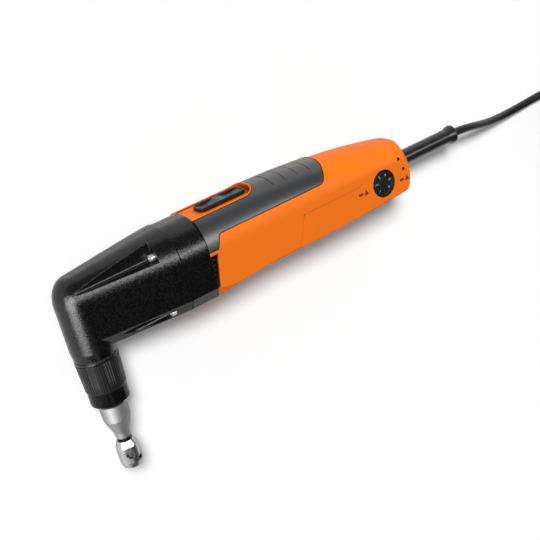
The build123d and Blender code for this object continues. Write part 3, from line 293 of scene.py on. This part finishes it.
sheet_stack, stack_tree, stack_place = start_finish("sheet_stack")
stack_lines = bands(stack_tree, stack_place, "X", scale=320.0)
set_surface(
    sheet_stack,
    {
        "Base Color": stack_lines.mix((0.12, 0.12, 0.125), (0.3, 0.3, 0.31)),
        "Metallic": 0.9,
        "Roughness": 0.5 - 0.1 * stack_lines,
        "Normal": bumped(stack_tree, stack_lines, strength=0.4, distance=0.0001),
    },
)
dress(sheet_stack, "rotor_core", "stator_core")
copper_wire, wire_tree, wire_place = start_finish("copper_wire")
wire_turns = bands(wire_tree, wire_place, "DIAGONAL", scale=210.0, distortion=1.5)
set_surface(
    copper_wire,
    {
        "Base Color": wire_turns.mix((0.22, 0.07, 0.02), (0.62, 0.26, 0.1)),
        "Metallic": 0.8,
        "Roughness": 0.4 - 0.15 * wire_turns,
        "Normal": bumped(wire_tree, wire_turns, strength=0.6, distance=0.0003),
    },
)
dress(copper_wire, "rotor_windings", "stator_windings", "commutator")
dress(bearing_bronze, "brush_holders")


def moulded_plastic(
    name, tone, dull, shine, grain_scale, edge, grain_depth=0.0001, edge_light_share=1.0, gap=0.0012
):
    """Moulded plastic with an eroded mould texture, faint clouds, painted shade in gaps and
    hollows, and edges whose tone is scaled by a share: a painted highlight above 1 and painted
    shade below.
    """
    made, tree, place = start_finish(name)
    grain = noise(tree, place, scale=grain_scale, detail=1.5)
    cloud = noise(tree, place, scale=25.0, detail=3.0)
    rounded = rounded_edge(tree, radius=edge, samples=8)
    unshaded_share = tree.node("AmbientOcclusion", {"samples": 12}, {"Distance": gap}, output="AO")
    clouded = cloud.mix(tinted(tone, 0.95), tinted(tone, 1.05))
    edge_painted = rubbed_edge(tree, rounded).mix(clouded, tinted(tone, edge_light_share))
    set_surface(
        made,
        {
            # Painted shade where the face is closed in, laid over the edge tone.
            "Base Color": unshaded_share.span(0.4, 0.97).mix(tinted(tone, 0.2), edge_painted),
            "Roughness": dull + 0.08 * grain + 0.04 * cloud,
            "Specular IOR Level": shine,
            "Normal": bumped(tree, grain, strength=0.35, distance=grain_depth, normal=rounded),
        },
    )
    return made


inner_plastic = moulded_plastic(
    "inner_plastic", (0.035, 0.035, 0.037), dull=0.42, shine=0.5, grain_scale=1800.0, edge=0.0003
)
dress(inner_plastic, "cooling_fan", "bearing_bridge", "switch_rod", "switch_block")
dress(inner_plastic, "speed_control", "cord_clamp")
pressed_carbon = moulded_plastic(
    "pressed_carbon", (0.02, 0.02, 0.02), dull=0.6, shine=0.4, grain_scale=2500.0, edge=0.0003
)
dress(pressed_carbon, "carbon_brushes")

# Vent ring: the coated ring between head and motor housing. The fan blows the cooling air
# out through the slots at its rear edge.
dress(head_coat, "vent_ring")

# Joint shade line: a thin black band in the joint between head and vent ring, painted shade that
# shows as a fine dark line round the tool. It follows the ring's own outline.
shade_line_front, shade_line_width, shade_line_rise = -0.07175, 0.0006, 0.00012


def welded_cells(name):
    """Cells of a CAD piece to work on, with the doubled corners of its faces joined."""
    cells = bmesh.new()
    cells.from_mesh(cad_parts[name].data)
    bmesh.ops.remove_doubles(cells, verts=cells.verts, dist=0.000001)
    return cells


def outer_skin(faces):
    """The faces of the outside, from the highest one on, up to the first sharp edge each way."""
    skin = {max(faces, key=lambda face: face.calc_center_median().y)}
    waiting = list(skin)
    while waiting:
        face = waiting.pop()
        beside = {other for edge in face.edges for other in edge.link_faces} - skin
        found = {other for other in beside if face.normal.angle(other.normal, pi) < pi / 5}
        skin |= found
        waiting += found
    return skin


def add_object(name, data):
    """A new object in the scene."""
    made = bpy.data.objects.new(name, data)
    bpy.context.scene.collection.objects.link(made)
    return made


def add_mesh(name, cells):
    """A new object in the scene from finished cells."""
    mesh = bpy.data.meshes.new(name)
    cells.to_mesh(mesh)
    cells.free()
    return add_object(name, mesh)


shade_line_cells = welded_cells("vent_ring")
bmesh.ops.bisect_plane(
    shade_line_cells,
    geom=shade_line_cells.verts[:] + shade_line_cells.edges[:] + shade_line_cells.faces[:],
    plane_co=(shade_line_front + shade_line_width, 0, 0),
    plane_no=(1, 0, 0),
    clear_outer=True,
)
shade_line_skin = outer_skin([face for face in shade_line_cells.faces if abs(face.normal.x) < 0.5])
shade_line_rest = [face for face in shade_line_cells.faces if face not in shade_line_skin]
bmesh.ops.delete(shade_line_cells, geom=shade_line_rest, context="FACES")
joint_shade_line = add_mesh("joint_shade_line", shade_line_cells)
shade_line_body = joint_shade_line.modifiers.new("body", "SOLIDIFY")
shade_line_body.thickness = 2 * shade_line_rise
shade_line_body.offset = 0.0
shade_line_black = moulded_plastic(
    "shade_line_black", (0.002, 0.002, 0.002), dull=0.85, shine=0.1, grain_scale=1500.0, edge=0.0001
)
joint_shade_line.data.materials.append(shade_line_black)
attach(joint_shade_line, "tool_body")

# Motor housing: one glass-filled nylon moulding in orange, with a satin mould texture.
# The head is screwed to its front end, and the cord leaves through its rear end.
housing_width = 0.058
orange_tone = (0.92, 0.188, 0.01)
# Its painted shade in hollows reaches 6 mm, so the switch recess and the shell along the grip and
# lip come out darker.
orange_shell = moulded_plastic(
    "orange_shell", orange_tone, dull=0.4, shine=0.1, grain_scale=1500.0, edge=0.0006, gap=0.006
)
dress(orange_shell, "motor_housing")

# Panel line: the mould has an insert for the label field, with a fine edge along the field's front
# and top. A thin rod of darker orange lies along that edge as painted shade.
panel_radius, panel_height = 0.00022, 0.0579
panel_corners = (
    (0.0313, 0.0277),
    (0.0395, 0.0475),
    (0.0402, 0.0495),
    (0.0417, 0.0509),
    (0.044, 0.0517),
    (0.102, 0.0517),
)


def add_line(name, places, radius, kind="POLY", fineness=2):
    """A new object in the scene: a round line through places."""
    curve = bpy.data.curves.new(name, "CURVE")
    curve.dimensions = "3D"
    curve.bevel_depth = radius
    curve.bevel_resolution = fineness
    curve.use_fill_caps = True
    spline = curve.splines.new(kind)
    spline.points.add(len(places) - 1)
    for point, place in zip(spline.points, places):
        point.co = (*place, 1.0)
    return add_object(name, curve)


panel_line = add_line(
    "panel_line", [(*corner, panel_height) for corner in panel_corners], panel_radius
)
panel_shade_tone = moulded_plastic(
    "panel_shade_tone",
    tinted(orange_tone, 0.85),
    dull=0.5,
    shine=0.1,
    grain_scale=1500.0,
    edge=0.0001,
)
panel_line.data.materials.append(panel_shade_tone)
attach(panel_line, "tool_body")

# Vent hole shade: dark blocks set into the two small air holes at the tail, on both sides of the
# housing, as painted shade inside the holes.
hole_block_side, hole_block_depth = 0.00249, 0.003
vent_holes = ((0.14375, 0.0589, 0.0009), (0.14695, 0.0492, 0.0007))
hole_block_form = Matrix.Diagonal((hole_block_side, hole_block_side, hole_block_depth, 1.0))
hole_block_cells = bmesh.new()
for hole_x, hole_y, hole_sink in vent_holes:
    block_middle = hole_sink + hole_block_depth / 2
    for block_z in (block_middle, housing_width - block_middle):
        pressed = Matrix.Translation((hole_x, hole_y, block_z)) @ hole_block_form
        bmesh.ops.create_cube(hole_block_cells, size=1.0, matrix=pressed)
vent_hole_shade = add_mesh("vent_hole_shade", hole_block_cells)
hole_shade_black = moulded_plastic(
    "hole_shade_black",
    (0.012, 0.008, 0.006),
    dull=0.9,
    shine=0.1,
    grain_scale=2600.0,
    grain_depth=0.0004,
    edge=0.0001,
)
vent_hole_shade.data.materials.append(hole_shade_black)
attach(vent_hole_shade, "tool_body")

# Soft grip: dark grey rubber moulded over the top of the housing, satin, with a fine
# leather-like grain and four grooves across it.
# Its edges are painted darker, as shade along its border with the shell.
grip_rubber = moulded_plastic(
    "grip_rubber",
    (0.021, 0.022, 0.024),
    dull=0.3,
    shine=1.0,
    grain_scale=1100.0,
    grain_depth=0.0002,
    edge=0.001,
    edge_light_share=0.2,
)
dress(grip_rubber, "grip_sleeve")

# Grip seam: a thin black line of painted shade in the narrow gap that the mould leaves between the
# soft grip and the shell. It follows the grip's own outline.
seam_radius = 0.00026
seam_cells = welded_cells("grip_sleeve")
grip_skin = outer_skin(seam_cells.faces)
grip_edges = {edge for face in grip_skin for edge in face.edges}
seam_edges = {
    edge for edge in grip_edges if sum(face in grip_skin for face in edge.link_faces) == 1
}
# It starts on the front edge, just above the flat side, where its two ends meet smoothly.
seam_corner = min(
    (end for edge in seam_edges for end in edge.verts),
    key=lambda end: (end.co.x, end.co.z < seam_radius, end.co.z),
)
seam_places = []
while seam_corner:
    seam_x, seam_y, seam_z = seam_corner.co
    seam_z = min(max(seam_z, seam_radius), housing_width - seam_radius / 2)
    seam_places.append((seam_x, seam_y, seam_z))
    ahead = [edge for edge in seam_corner.link_edges if edge in seam_edges]
    seam_edges -= set(ahead[:1])
    seam_corner = ahead[0].other_vert(seam_corner) if ahead else None
seam_cells.free()
grip_seam = add_line("grip_seam", seam_places, seam_radius)
grip_seam.data.materials.append(shade_line_black)
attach(grip_seam, "tool_body")

# Recess lip: the housing's own raised edge round the switch recess, moulded in one with the
# shell. It stands a little proud of the soft grip, which ends against it.
lip_width, lip_rise, lip_foot, lip_depth, lip_rounding = 0.0012, 0.0005, 0.0804, 0.002, 0.00035
recess_front, recess_end, recess_middle = -0.04775, 0.01325, 0.029
recess_half, recess_round = 0.0165, 0.012


def add_bar(name, sections, closed, rounding):
    """A new object in the scene: a bar with softened edges through four-cornered sections."""
    cells = bmesh.new()
    rows = [[cells.verts.new(place) for place in section] for section in sections]
    following = rows[1:] + rows[:1] if closed else rows[1:]
    for here, ahead in zip(rows, following):
        for side in range(4):
            cells.faces.new((here[side], here[side - 1], ahead[side - 1], ahead[side]))
    if not closed:
        cells.faces.new(rows[0])
        cells.faces.new(rows[-1])
    bmesh.ops.recalc_face_normals(cells, faces=cells.faces)
    bar = add_mesh(name, cells)
    soft_edge = bar.modifiers.new("soft_edge", "BEVEL")
    soft_edge.width = rounding
    soft_edge.segments = 2
    soft_edge.limit_method = "ANGLE"
    return bar


def wall_section(outer, inner, foot, crest):
    """Section of an upright wall between two places (x, z)."""
    (outer_x, outer_z), (inner_x, inner_z) = outer, inner
    return (
        (outer_x, foot, outer_z),
        (outer_x, crest, outer_z),
        (inner_x, crest, inner_z),
        (inner_x, foot, inner_z),
    )


lip_line = sorted(
    {
        (x, y, z)
        for x, y, z in seam_places
        if x < recess_end + seam_radius and abs(z - recess_middle) < recess_half + seam_radius
    },
    key=lambda place: atan2(place[2] - recess_middle, place[0] - recess_front),
)
turn_x, turn_z = recess_end - recess_round, recess_half - recess_round
lip_sections = []
for lip_x, lip_y, lip_z in lip_line:
    heart_z = min(max(lip_z - recess_middle, -turn_z), turn_z) + recess_middle
    lip_outer = Vector((lip_x, lip_z))
    inward = (Vector((min(lip_x, turn_x), heart_z)) - lip_outer).normalized()
    foot = min(lip_foot, lip_y - lip_depth)
    lip_inner = lip_outer + lip_width * inward
    lip_sections.append(wall_section((lip_x, lip_z), lip_inner, foot, lip_y + lip_rise))
recess_lip = add_bar("recess_lip", lip_sections, closed=False, rounding=lip_rounding)
recess_lip.data.materials.append(orange_shell)
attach(recess_lip, "tool_body")

# Slide switch: a moulded black button with two finger scoops. It clips on the switch rod and
# slides forward to start the tool.
# Its edges are painted five times lighter, as a painted highlight along them.
switch_black = moulded_plastic(
    "switch_black",
    (0.008, 0.0083, 0.0096),
    dull=0.22,
    shine=0.4,
    grain_scale=1600.0,
    edge=0.0007,
    edge_light_share=5.0,
)
dress(switch_black, "switch_slider")

# Button rim: the low wall that frames both scoops, moulded in one with the button, so that
# the finger pushes against it.
button_middle, button_half_length, button_half_width = -0.01275, 0.02105, 0.00755
button_corner, corner_parts = 0.004, 8
rim_width, rim_foot, rim_crest, rim_rounding = 0.0012, 0.081, 0.084, 0.0003


def rounded_line(inset):
    """The button's outline drawn in by an inset, with round corners, as places (x, z)."""
    corner = button_corner - inset
    line = []
    for quarter, (side_x, side_z) in enumerate(((1, 1), (-1, 1), (-1, -1), (1, -1))):
        for step in range(corner_parts + 1):
            turn = (quarter + step / corner_parts) * pi / 2
            along = side_x * (button_half_length - inset - corner) + corner * cos(turn)
            across = side_z * (button_half_width - inset - corner) + corner * sin(turn)
            line.append((button_middle + along, recess_middle + across))
    return line


rim_sections = [
    wall_section(outer, inner, rim_foot, rim_crest)
    for outer, inner in zip(rounded_line(0.0), rounded_line(rim_width))
]
button_rim = add_bar("button_rim", rim_sections, closed=True, rounding=rim_rounding)
button_rim.data.materials.append(switch_black)
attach(button_rim, "switch")

# Switch signs: a bar in the front scoop and a ring in the rear one. They are moulded in and
# stand a little proud, and a grey print makes them readable.
sign_height, sign_rise, sign_level = 0.0052, 0.0004, 0.0822


def written_mark(name, words, height, thickness, place, across, up):
    """One printed or moulded sign that lies on a face, given by its reading directions."""
    line = bpy.data.curves.new(name, "FONT")
    line.body = words
    line.size = height
    line.extrude = thickness / 2
    line.align_x = "CENTER"
    line.align_y = "CENTER"
    mark = add_object(name, line)
    across = Vector(across).normalized()
    up = Vector(up).normalized()
    turned = Matrix((across, up, across.cross(up))).transposed().to_4x4()
    mark.matrix_world = Matrix.Translation(place) @ turned
    return mark


switch_print = moulded_plastic(
    "switch_print", (0.09, 0.09, 0.092), dull=0.4, shine=0.5, grain_scale=1600.0, edge=0.0001
)
for sign_name, sign, sign_x in (("switch_on_sign", "I", -0.0245), ("switch_off_sign", "O", -0.001)):
    switch_sign = written_mark(
        sign_name,
        sign,
        sign_height,
        sign_rise,
        place=(sign_x, sign_level, recess_middle),
        across=(0, 0, -1),
        up=(-1, 0, 0),
    )
    switch_sign.data.materials.append(switch_print)
    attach(switch_sign, "switch")

# Speed dial: a black scalloped wheel that is let into the side of the housing. Its six
# speeds are printed round the dished ring.
dial_middle = Vector((0.12425, 0.0448, 0.0569))
digit_circle, digit_height, digit_rise = 0.0069, 0.0038, 0.0003
first_turn, turn_step = 1.25 * pi, 0.3 * pi
dial_black = moulded_plastic(
    "dial_black", (0.006, 0.0062, 0.0068), dull=0.3, shine=0.5, grain_scale=2000.0, edge=0.0003
)
dress(dial_black, "speed_dial", "dial_shaft")
dial_print = moulded_plastic(
    "dial_print", (0.5, 0.5, 0.48), dull=0.5, shine=0.4, grain_scale=1600.0, edge=0.0001
)
for speed in range(1, 7):
    digit_turn = first_turn - turn_step * (speed - 1)
    digit_up = Vector((cos(digit_turn), sin(digit_turn), 0))
    digit = written_mark(
        f"dial_digit_{speed}",
        str(speed),
        digit_height,
        digit_rise,
        place=dial_middle + digit_circle * digit_up,
        across=(sin(digit_turn), -cos(digit_turn), 0),
        up=digit_up,
    )
    digit.data.materials.append(dial_print)
    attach(digit, "dial")

# Dial marks: a bar and an arrow head on each side of the dial, moulded on the housing in
# a deeper orange than the rest.
mark_rise = 0.0003
mark_forms = (
    [(-0.0052, -0.0009), (-0.0012, -0.0009), (-0.0012, 0.0009), (-0.0052, 0.0009)],
    [(0.0004, -0.0018), (0.0046, -0.0018), (0.0025, 0.0022)],
)
mark_places = (("dial_mark_front", 0.1022, 0.0448), ("dial_mark_rear", 0.1462, 0.0409))
mark_tone = moulded_plastic(
    "mark_tone", (0.24, 0.03, 0.006), dull=0.5, shine=0.1, grain_scale=1500.0, edge=0.0002
)
for mark_name, mark_x, mark_y in mark_places:
    mark_cells = bmesh.new()
    for form in mark_forms:
        form_places = [(mark_x + x, mark_y + y, housing_width - mark_rise) for x, y in form]
        lid = mark_cells.faces.new([mark_cells.verts.new(place) for place in form_places])
        raised = bmesh.ops.extrude_face_region(mark_cells, geom=[lid])["geom"]
        lifted = [item for item in raised if isinstance(item, bmesh.types.BMVert)]
        bmesh.ops.translate(mark_cells, verts=lifted, vec=(0, 0, 2 * mark_rise))
    bmesh.ops.recalc_face_normals(mark_cells, faces=mark_cells.faces)
    dial_mark = add_mesh(mark_name, mark_cells)
    dial_mark.data.materials.append(mark_tone)
    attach(dial_mark, "tool_body")

# Bend sleeve: a rubber tube with a flared lip, held by its flange inside the housing.
# It keeps the cord from being bent sharply where it leaves the tool.
sleeve_rubber = moulded_plastic(
    "sleeve_rubber", (0.007, 0.0071, 0.0075), dull=0.26, shine=0.6, grain_scale=900.0, edge=0.0006
)
dress(sleeve_rubber, "cord_boot", "cord_tail")

# Mains cord: rubber-sheathed cable, 7.3 mm thick and about 4.2 m long. It comes down to the
# bench behind the tool, and the length that isn't needed there is wound into a tied coil.
cord_radius = 0.00365
cord_route = [
    (0.22525, 0.0457, 0.029),
    (0.24125, 0.0457, 0.029),
    (0.26125, 0.0415, 0.025),
    (0.28525, 0.0351, 0.0172),
    (0.31125, 0.0305, 0.0092),
    (0.33925, 0.0291, 0.0044),
    (0.36725, 0.0304, 0.0037),
    (0.39725, 0.0315, 0.0049),
    (0.42825, 0.0318, 0.0049),
]
coil_middle = (0.43555, -0.0244)
coil_inner, coil_outer, coil_pitch, coil_base = 0.0292, 0.0562, 0.008, 0.0049
layers, layer_rise, layer_turns, climb_turns = 4, 0.0079, 3.375, 0.5
wound_turns, out_turns, drop_turns = layers * layer_turns, 0.25, 0.5
coil_turns = wound_turns + out_turns + drop_turns
plug_x, plug_back, plug_height = 0.50775, -0.0317, 0.0133
plug_fall = plug_height - coil_base - (layers - 1) * layer_rise
points_each_turn = 16


def ease(share):
    """Smooth step from 0 to 1."""
    share = min(max(share, 0.0), 1.0)
    return share * share * (3 - 2 * share)


# The turns go in and out layer by layer. The last one leaves the bundle and drops to the plug.
for count in range(int(coil_turns * points_each_turn) + 1):
    turns = count / points_each_turn
    swing = abs(min(turns, wound_turns) / layer_turns % 2 - 1)
    out = ease((turns - wound_turns) / out_turns)
    drop = ease((turns - wound_turns - out_turns) / drop_turns)
    radius = coil_inner + (coil_outer - coil_inner) * swing + coil_pitch * (out + drop)
    climbs = [
        ease((turns - layer * layer_turns) / climb_turns + 0.5) for layer in range(1, layers)
    ]
    height = coil_base + layer_rise * sum(climbs) + plug_fall * drop
    angle = pi / 2 - 2 * pi * turns
    reach = radius / cos(pi / points_each_turn)
    coil_x, coil_y = coil_middle[0] + reach * cos(angle), coil_middle[1] + reach * sin(angle)
    cord_route.append((coil_x, coil_y, height))
cord_route.append((plug_x, plug_back, plug_height))
mains_cord = add_line("mains_cord", cord_route, cord_radius, kind="NURBS", fineness=5)
mains_cord.data.resolution_u = 5
mains_cord.data.splines[0].order_u = 3
mains_cord.data.splines[0].use_endpoint_u = True
cord_rubber = moulded_plastic(
    "cord_rubber",
    (0.005, 0.0051, 0.0053),
    dull=0.3,
    shine=0.4,
    grain_scale=1400.0,
    grain_depth=0.00015,
    edge=0.0003,
)
mains_cord.data.materials.append(cord_rubber)
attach(mains_cord, "tool_body")
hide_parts("cord_lead", "cord_coil")

# Cord tie: a woven strap that goes once round the coil's bundle and is pressed down on
# itself on top, with a rounded tail.
tie_angle = -pi / 3
tie_heading = Vector((cos(tie_angle), sin(tie_angle), 0))
tie_side = Vector((sin(tie_angle), -cos(tie_angle), 0))
tie_centre = Vector((*coil_middle, 0))
tie_near, tie_far = 0.0239, 0.0611
tie_low, tie_high = 0.0004, 0.0331
tie_start, tie_step, tie_end = 0.05, 0.053, 0.032
tie_round, tie_thickness, tie_half_width, tie_rounding = 0.004, 0.0008, 0.005, 0.0003
tail_share = 0.6
corner_steps = 6
# Reach from the coil's middle, height, and the way the strap faces, in half turns.
tie_corners = (
    (tie_near + tie_round, tie_high - tie_round, 0.5),
    (tie_near + tie_round, tie_low + tie_round, 1.0),
    (tie_far - tie_round, tie_low + tie_round, 1.5),
    (tie_far - tie_round, tie_high - tie_round, 2.0),
)
tie_path = [(tie_start, tie_high, 0.5)]
for corner_reach, corner_height, corner_turn in tie_corners:
    for step in range(corner_steps + 1):
        facing = corner_turn + 0.5 * step / corner_steps
        bend_reach = corner_reach + tie_round * cos(pi * facing)
        bend_height = corner_height + tie_round * sin(pi * facing)
        tie_path.append((bend_reach, bend_height, facing))
tie_path.append((tie_step, tie_high, 2.5))
tie_path.append((tie_start, tie_high + tie_thickness, 2.5))
tie_path.append((tie_end, tie_high + tie_thickness, 2.5))
tie_sections = []
for along, (reach, height, facing) in enumerate(tie_path):
    outward = tie_heading * cos(pi * facing) + Vector((0, 0, sin(pi * facing)))
    middle = tie_centre + tie_heading * reach + Vector((0, 0, height))
    half = tie_half_width * (tail_share if along == len(tie_path) - 1 else 1.0)
    tie_sections.append(
        [
            middle + tie_side * half * across + outward * tie_thickness / 2 * rise
            for across, rise in ((-1, -1), (1, -1), (1, 1), (-1, 1))
        ]
    )
tie_strap = add_bar("tie_strap", tie_sections, closed=False, rounding=tie_rounding)
tie_weave, weave_tree, weave_place = start_finish("tie_weave")
weave_long = bands(weave_tree, weave_place, "Z", scale=420.0)
weave_cross = bands(weave_tree, weave_place, "DIAGONAL", scale=420.0)
weave_fuzz = noise(weave_tree, weave_place, scale=1600.0, detail=3.0)
weave_height = 0.5 * weave_long + 0.5 * weave_cross + 0.3 * weave_fuzz
set_surface(
    tie_weave,
    {
        "Base Color": weave_height.mix((0.012, 0.012, 0.013), (0.05, 0.05, 0.053)),
        "Roughness": 0.75 + 0.15 * weave_fuzz,
        "Normal": bumped(weave_tree, weave_height, strength=0.6, distance=0.0003),
    },
)
tie_strap.data.materials.append(tie_weave)
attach(tie_strap, "tool_body")
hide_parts("cord_tie")

# Plug: a rubber body moulded on the cord, with finger ribs on its sides and two pins of
# nickel-plated brass in its face.
plug_rubber = moulded_plastic(
    "plug_rubber",
    (0.012, 0.012, 0.0125),
    dull=0.48,
    shine=0.3,
    grain_scale=1400.0,
    grain_depth=0.00015,
    edge=0.0008,
)
dress(plug_rubber, "plug_body")
dress(bright_metal("pin_nickel", (0.78, 0.74, 0.66), dull=0.15, line_scale=1500.0), "plug_pins")
rib_radius, rib_half, rib_flat, rib_reach = 0.0011, 0.007, 0.8, 0.018
rib_form = Matrix.Diagonal((rib_flat, 1.0, rib_half / rib_radius, 1.0))
rib_cells = bmesh.new()
for rib_x in (plug_x - rib_reach, plug_x + rib_reach):
    for rib_y in (-0.0655, -0.0691, -0.0727, -0.0763):
        stood = Matrix.Translation((rib_x, rib_y, plug_height)) @ rib_form
        bmesh.ops.create_uvsphere(
            rib_cells, u_segments=14, v_segments=12, radius=rib_radius, matrix=stood
        )
plug_ribs = add_mesh("plug_ribs", rib_cells)
plug_ribs.data.shade_smooth()
plug_ribs.data.materials.append(plug_rubber)
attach(plug_ribs, "tool_body")

# Bench: one pale sheet of paper that the tool lies on. It is white to the eye and in
# reflections, throws less light back on the pieces, and keeps the shadow.
bench_half = 30
bench_corners = [
    (side_x * bench_half, side_y * bench_half, 0)
    for side_x, side_y in ((-1, -1), (1, -1), (1, 1), (-1, 1))
]
bench_mesh = bpy.data.meshes.new("bench")
bench_mesh.from_pydata(bench_corners, [], [(0, 1, 2, 3)])
bench = add_object("bench", bench_mesh)
bench_paper, paper_tree = start_finish("bench_paper")[:2]
# 1 for rays from the camera, in reflections and through glass, and 0 for light on pieces.
camera_ray, mirror_ray, glass_ray = [
    paper_tree.node("LightPath", output=kind)
    for kind in ("Is Camera Ray", "Is Glossy Ray", "Is Transmission Ray")
]
looked_at = camera_ray + mirror_ray + glass_ray
paper_tone = looked_at.mix((0.5, 0.5, 0.5), (0.97, 0.97, 0.97))
set_surface(bench_paper, {"Base Color": paper_tone, "Roughness": 0.9, "Specular IOR Level": 0.0})
paper_glow = paper_tree.node(
    "Emission", (), {"Color": (1.0, 1.0, 1.0, 1.0), "Strength": 0.13 * looked_at}
)
paper_nodes = bench_paper.node_tree.nodes
paper_shader = Shade(paper_tree.tree, paper_nodes["Principled BSDF"].outputs[0])
paper_sum = paper_tree.node("AddShader", (), {0: paper_shader, 1: paper_glow})
paper_end = paper_nodes["Material Output"].inputs["Surface"]
bench_paper.node_tree.links.new(paper_sum.socket, paper_end)
bench_mesh.materials.append(bench_paper)

# Studio: a key light from behind on the left gives the light and the shadow. Three softboxes
# show only in highlights: a strip overhead, a large one on the left and a small one on the
# near side. The room is white at the horizon and darker above, most of all on the near side.
studio = bpy.data.worlds.new("studio")
bpy.context.scene.world = studio
studio.use_nodes = True
room = Shade(studio.node_tree)
room_way = room.node("TexCoord", output="Generated")
room_share = 0.5 * room.node("SeparateXYZ", (), {0: room_way}, output="Y") + 0.5
room_tone = (room_share * room_share).mix((0.03, 0.03, 0.03), (0.2, 0.2, 0.2))
room_rise = room.node("SeparateXYZ", (), {0: room_way}, output="Z")
room_colour = room_rise.span(0.1, 0.35).mix((1.0, 1.0, 1.0), room_tone)
room_end = studio.node_tree.nodes["Background"].inputs["Color"]
studio.node_tree.links.new(room_colour.socket, room_end)


def hang_lamp(name, kind, place, aim, power):
    """A lamp that hangs at a place and faces another."""
    lamp = bpy.data.lights.new(name, kind)
    lamp.energy = power
    light = add_object(name, lamp)
    light.location = place
    light.rotation_euler = (Vector(aim) - Vector(place)).to_track_quat("-Z", "Y").to_euler()
    return light


key_light = hang_lamp("key_light", "SUN", (-0.45, 0.72, 1.0), (0.0, 0.0, 0.0), power=3.2)
key_light.data.angle = 0.27
key_light.visible_glossy = False
for box_name, box_place, box_aim, box_size, box_power in (
    ("top_softbox", (-0.05, 0.29, 1.1), (-0.05, 0.29, 0.0), (2.4, 0.26), 17.0),
    ("left_softbox", (-1.0, -0.02, 0.66), (-0.15, 0.0, 0.03), (0.85, 0.75), 20.0),
    ("near_softbox", (-0.4, -0.63, 0.95), (-0.15, -0.05, 0.03), (0.3, 0.3), 0.2),
):
    softbox = hang_lamp(box_name, "AREA", box_place, box_aim, box_power)
    softbox.data.shape = "RECTANGLE"
    softbox.data.size, softbox.data.size_y = box_size
    softbox.visible_diffuse = False
    softbox.visible_camera = False

# Camera: above the head's side of the tool, at the angle of the product picture.
view_lens = bpy.data.cameras.new("camera")
view_lens.sensor_width = 36.0
view_lens.lens = 69.97
view_lens.clip_start = 0.01
camera = add_object("camera", view_lens)
view_place = (-0.37405, 0.341, 0.7091)
view_right = Vector((0.7904, -0.233, 0.5665))
view_up = Vector((0.4076, 0.8904, -0.2024))
view_back = Vector((-0.4573, 0.3909, 0.7988))
view_turn = Matrix((view_right, view_up, view_back)).transposed().to_4x4()
camera.matrix_world = Matrix.Translation(view_place) @ view_turn
bpy.context.scene.camera = camera
bpy.context.scene.view_settings.view_transform = "Standard"
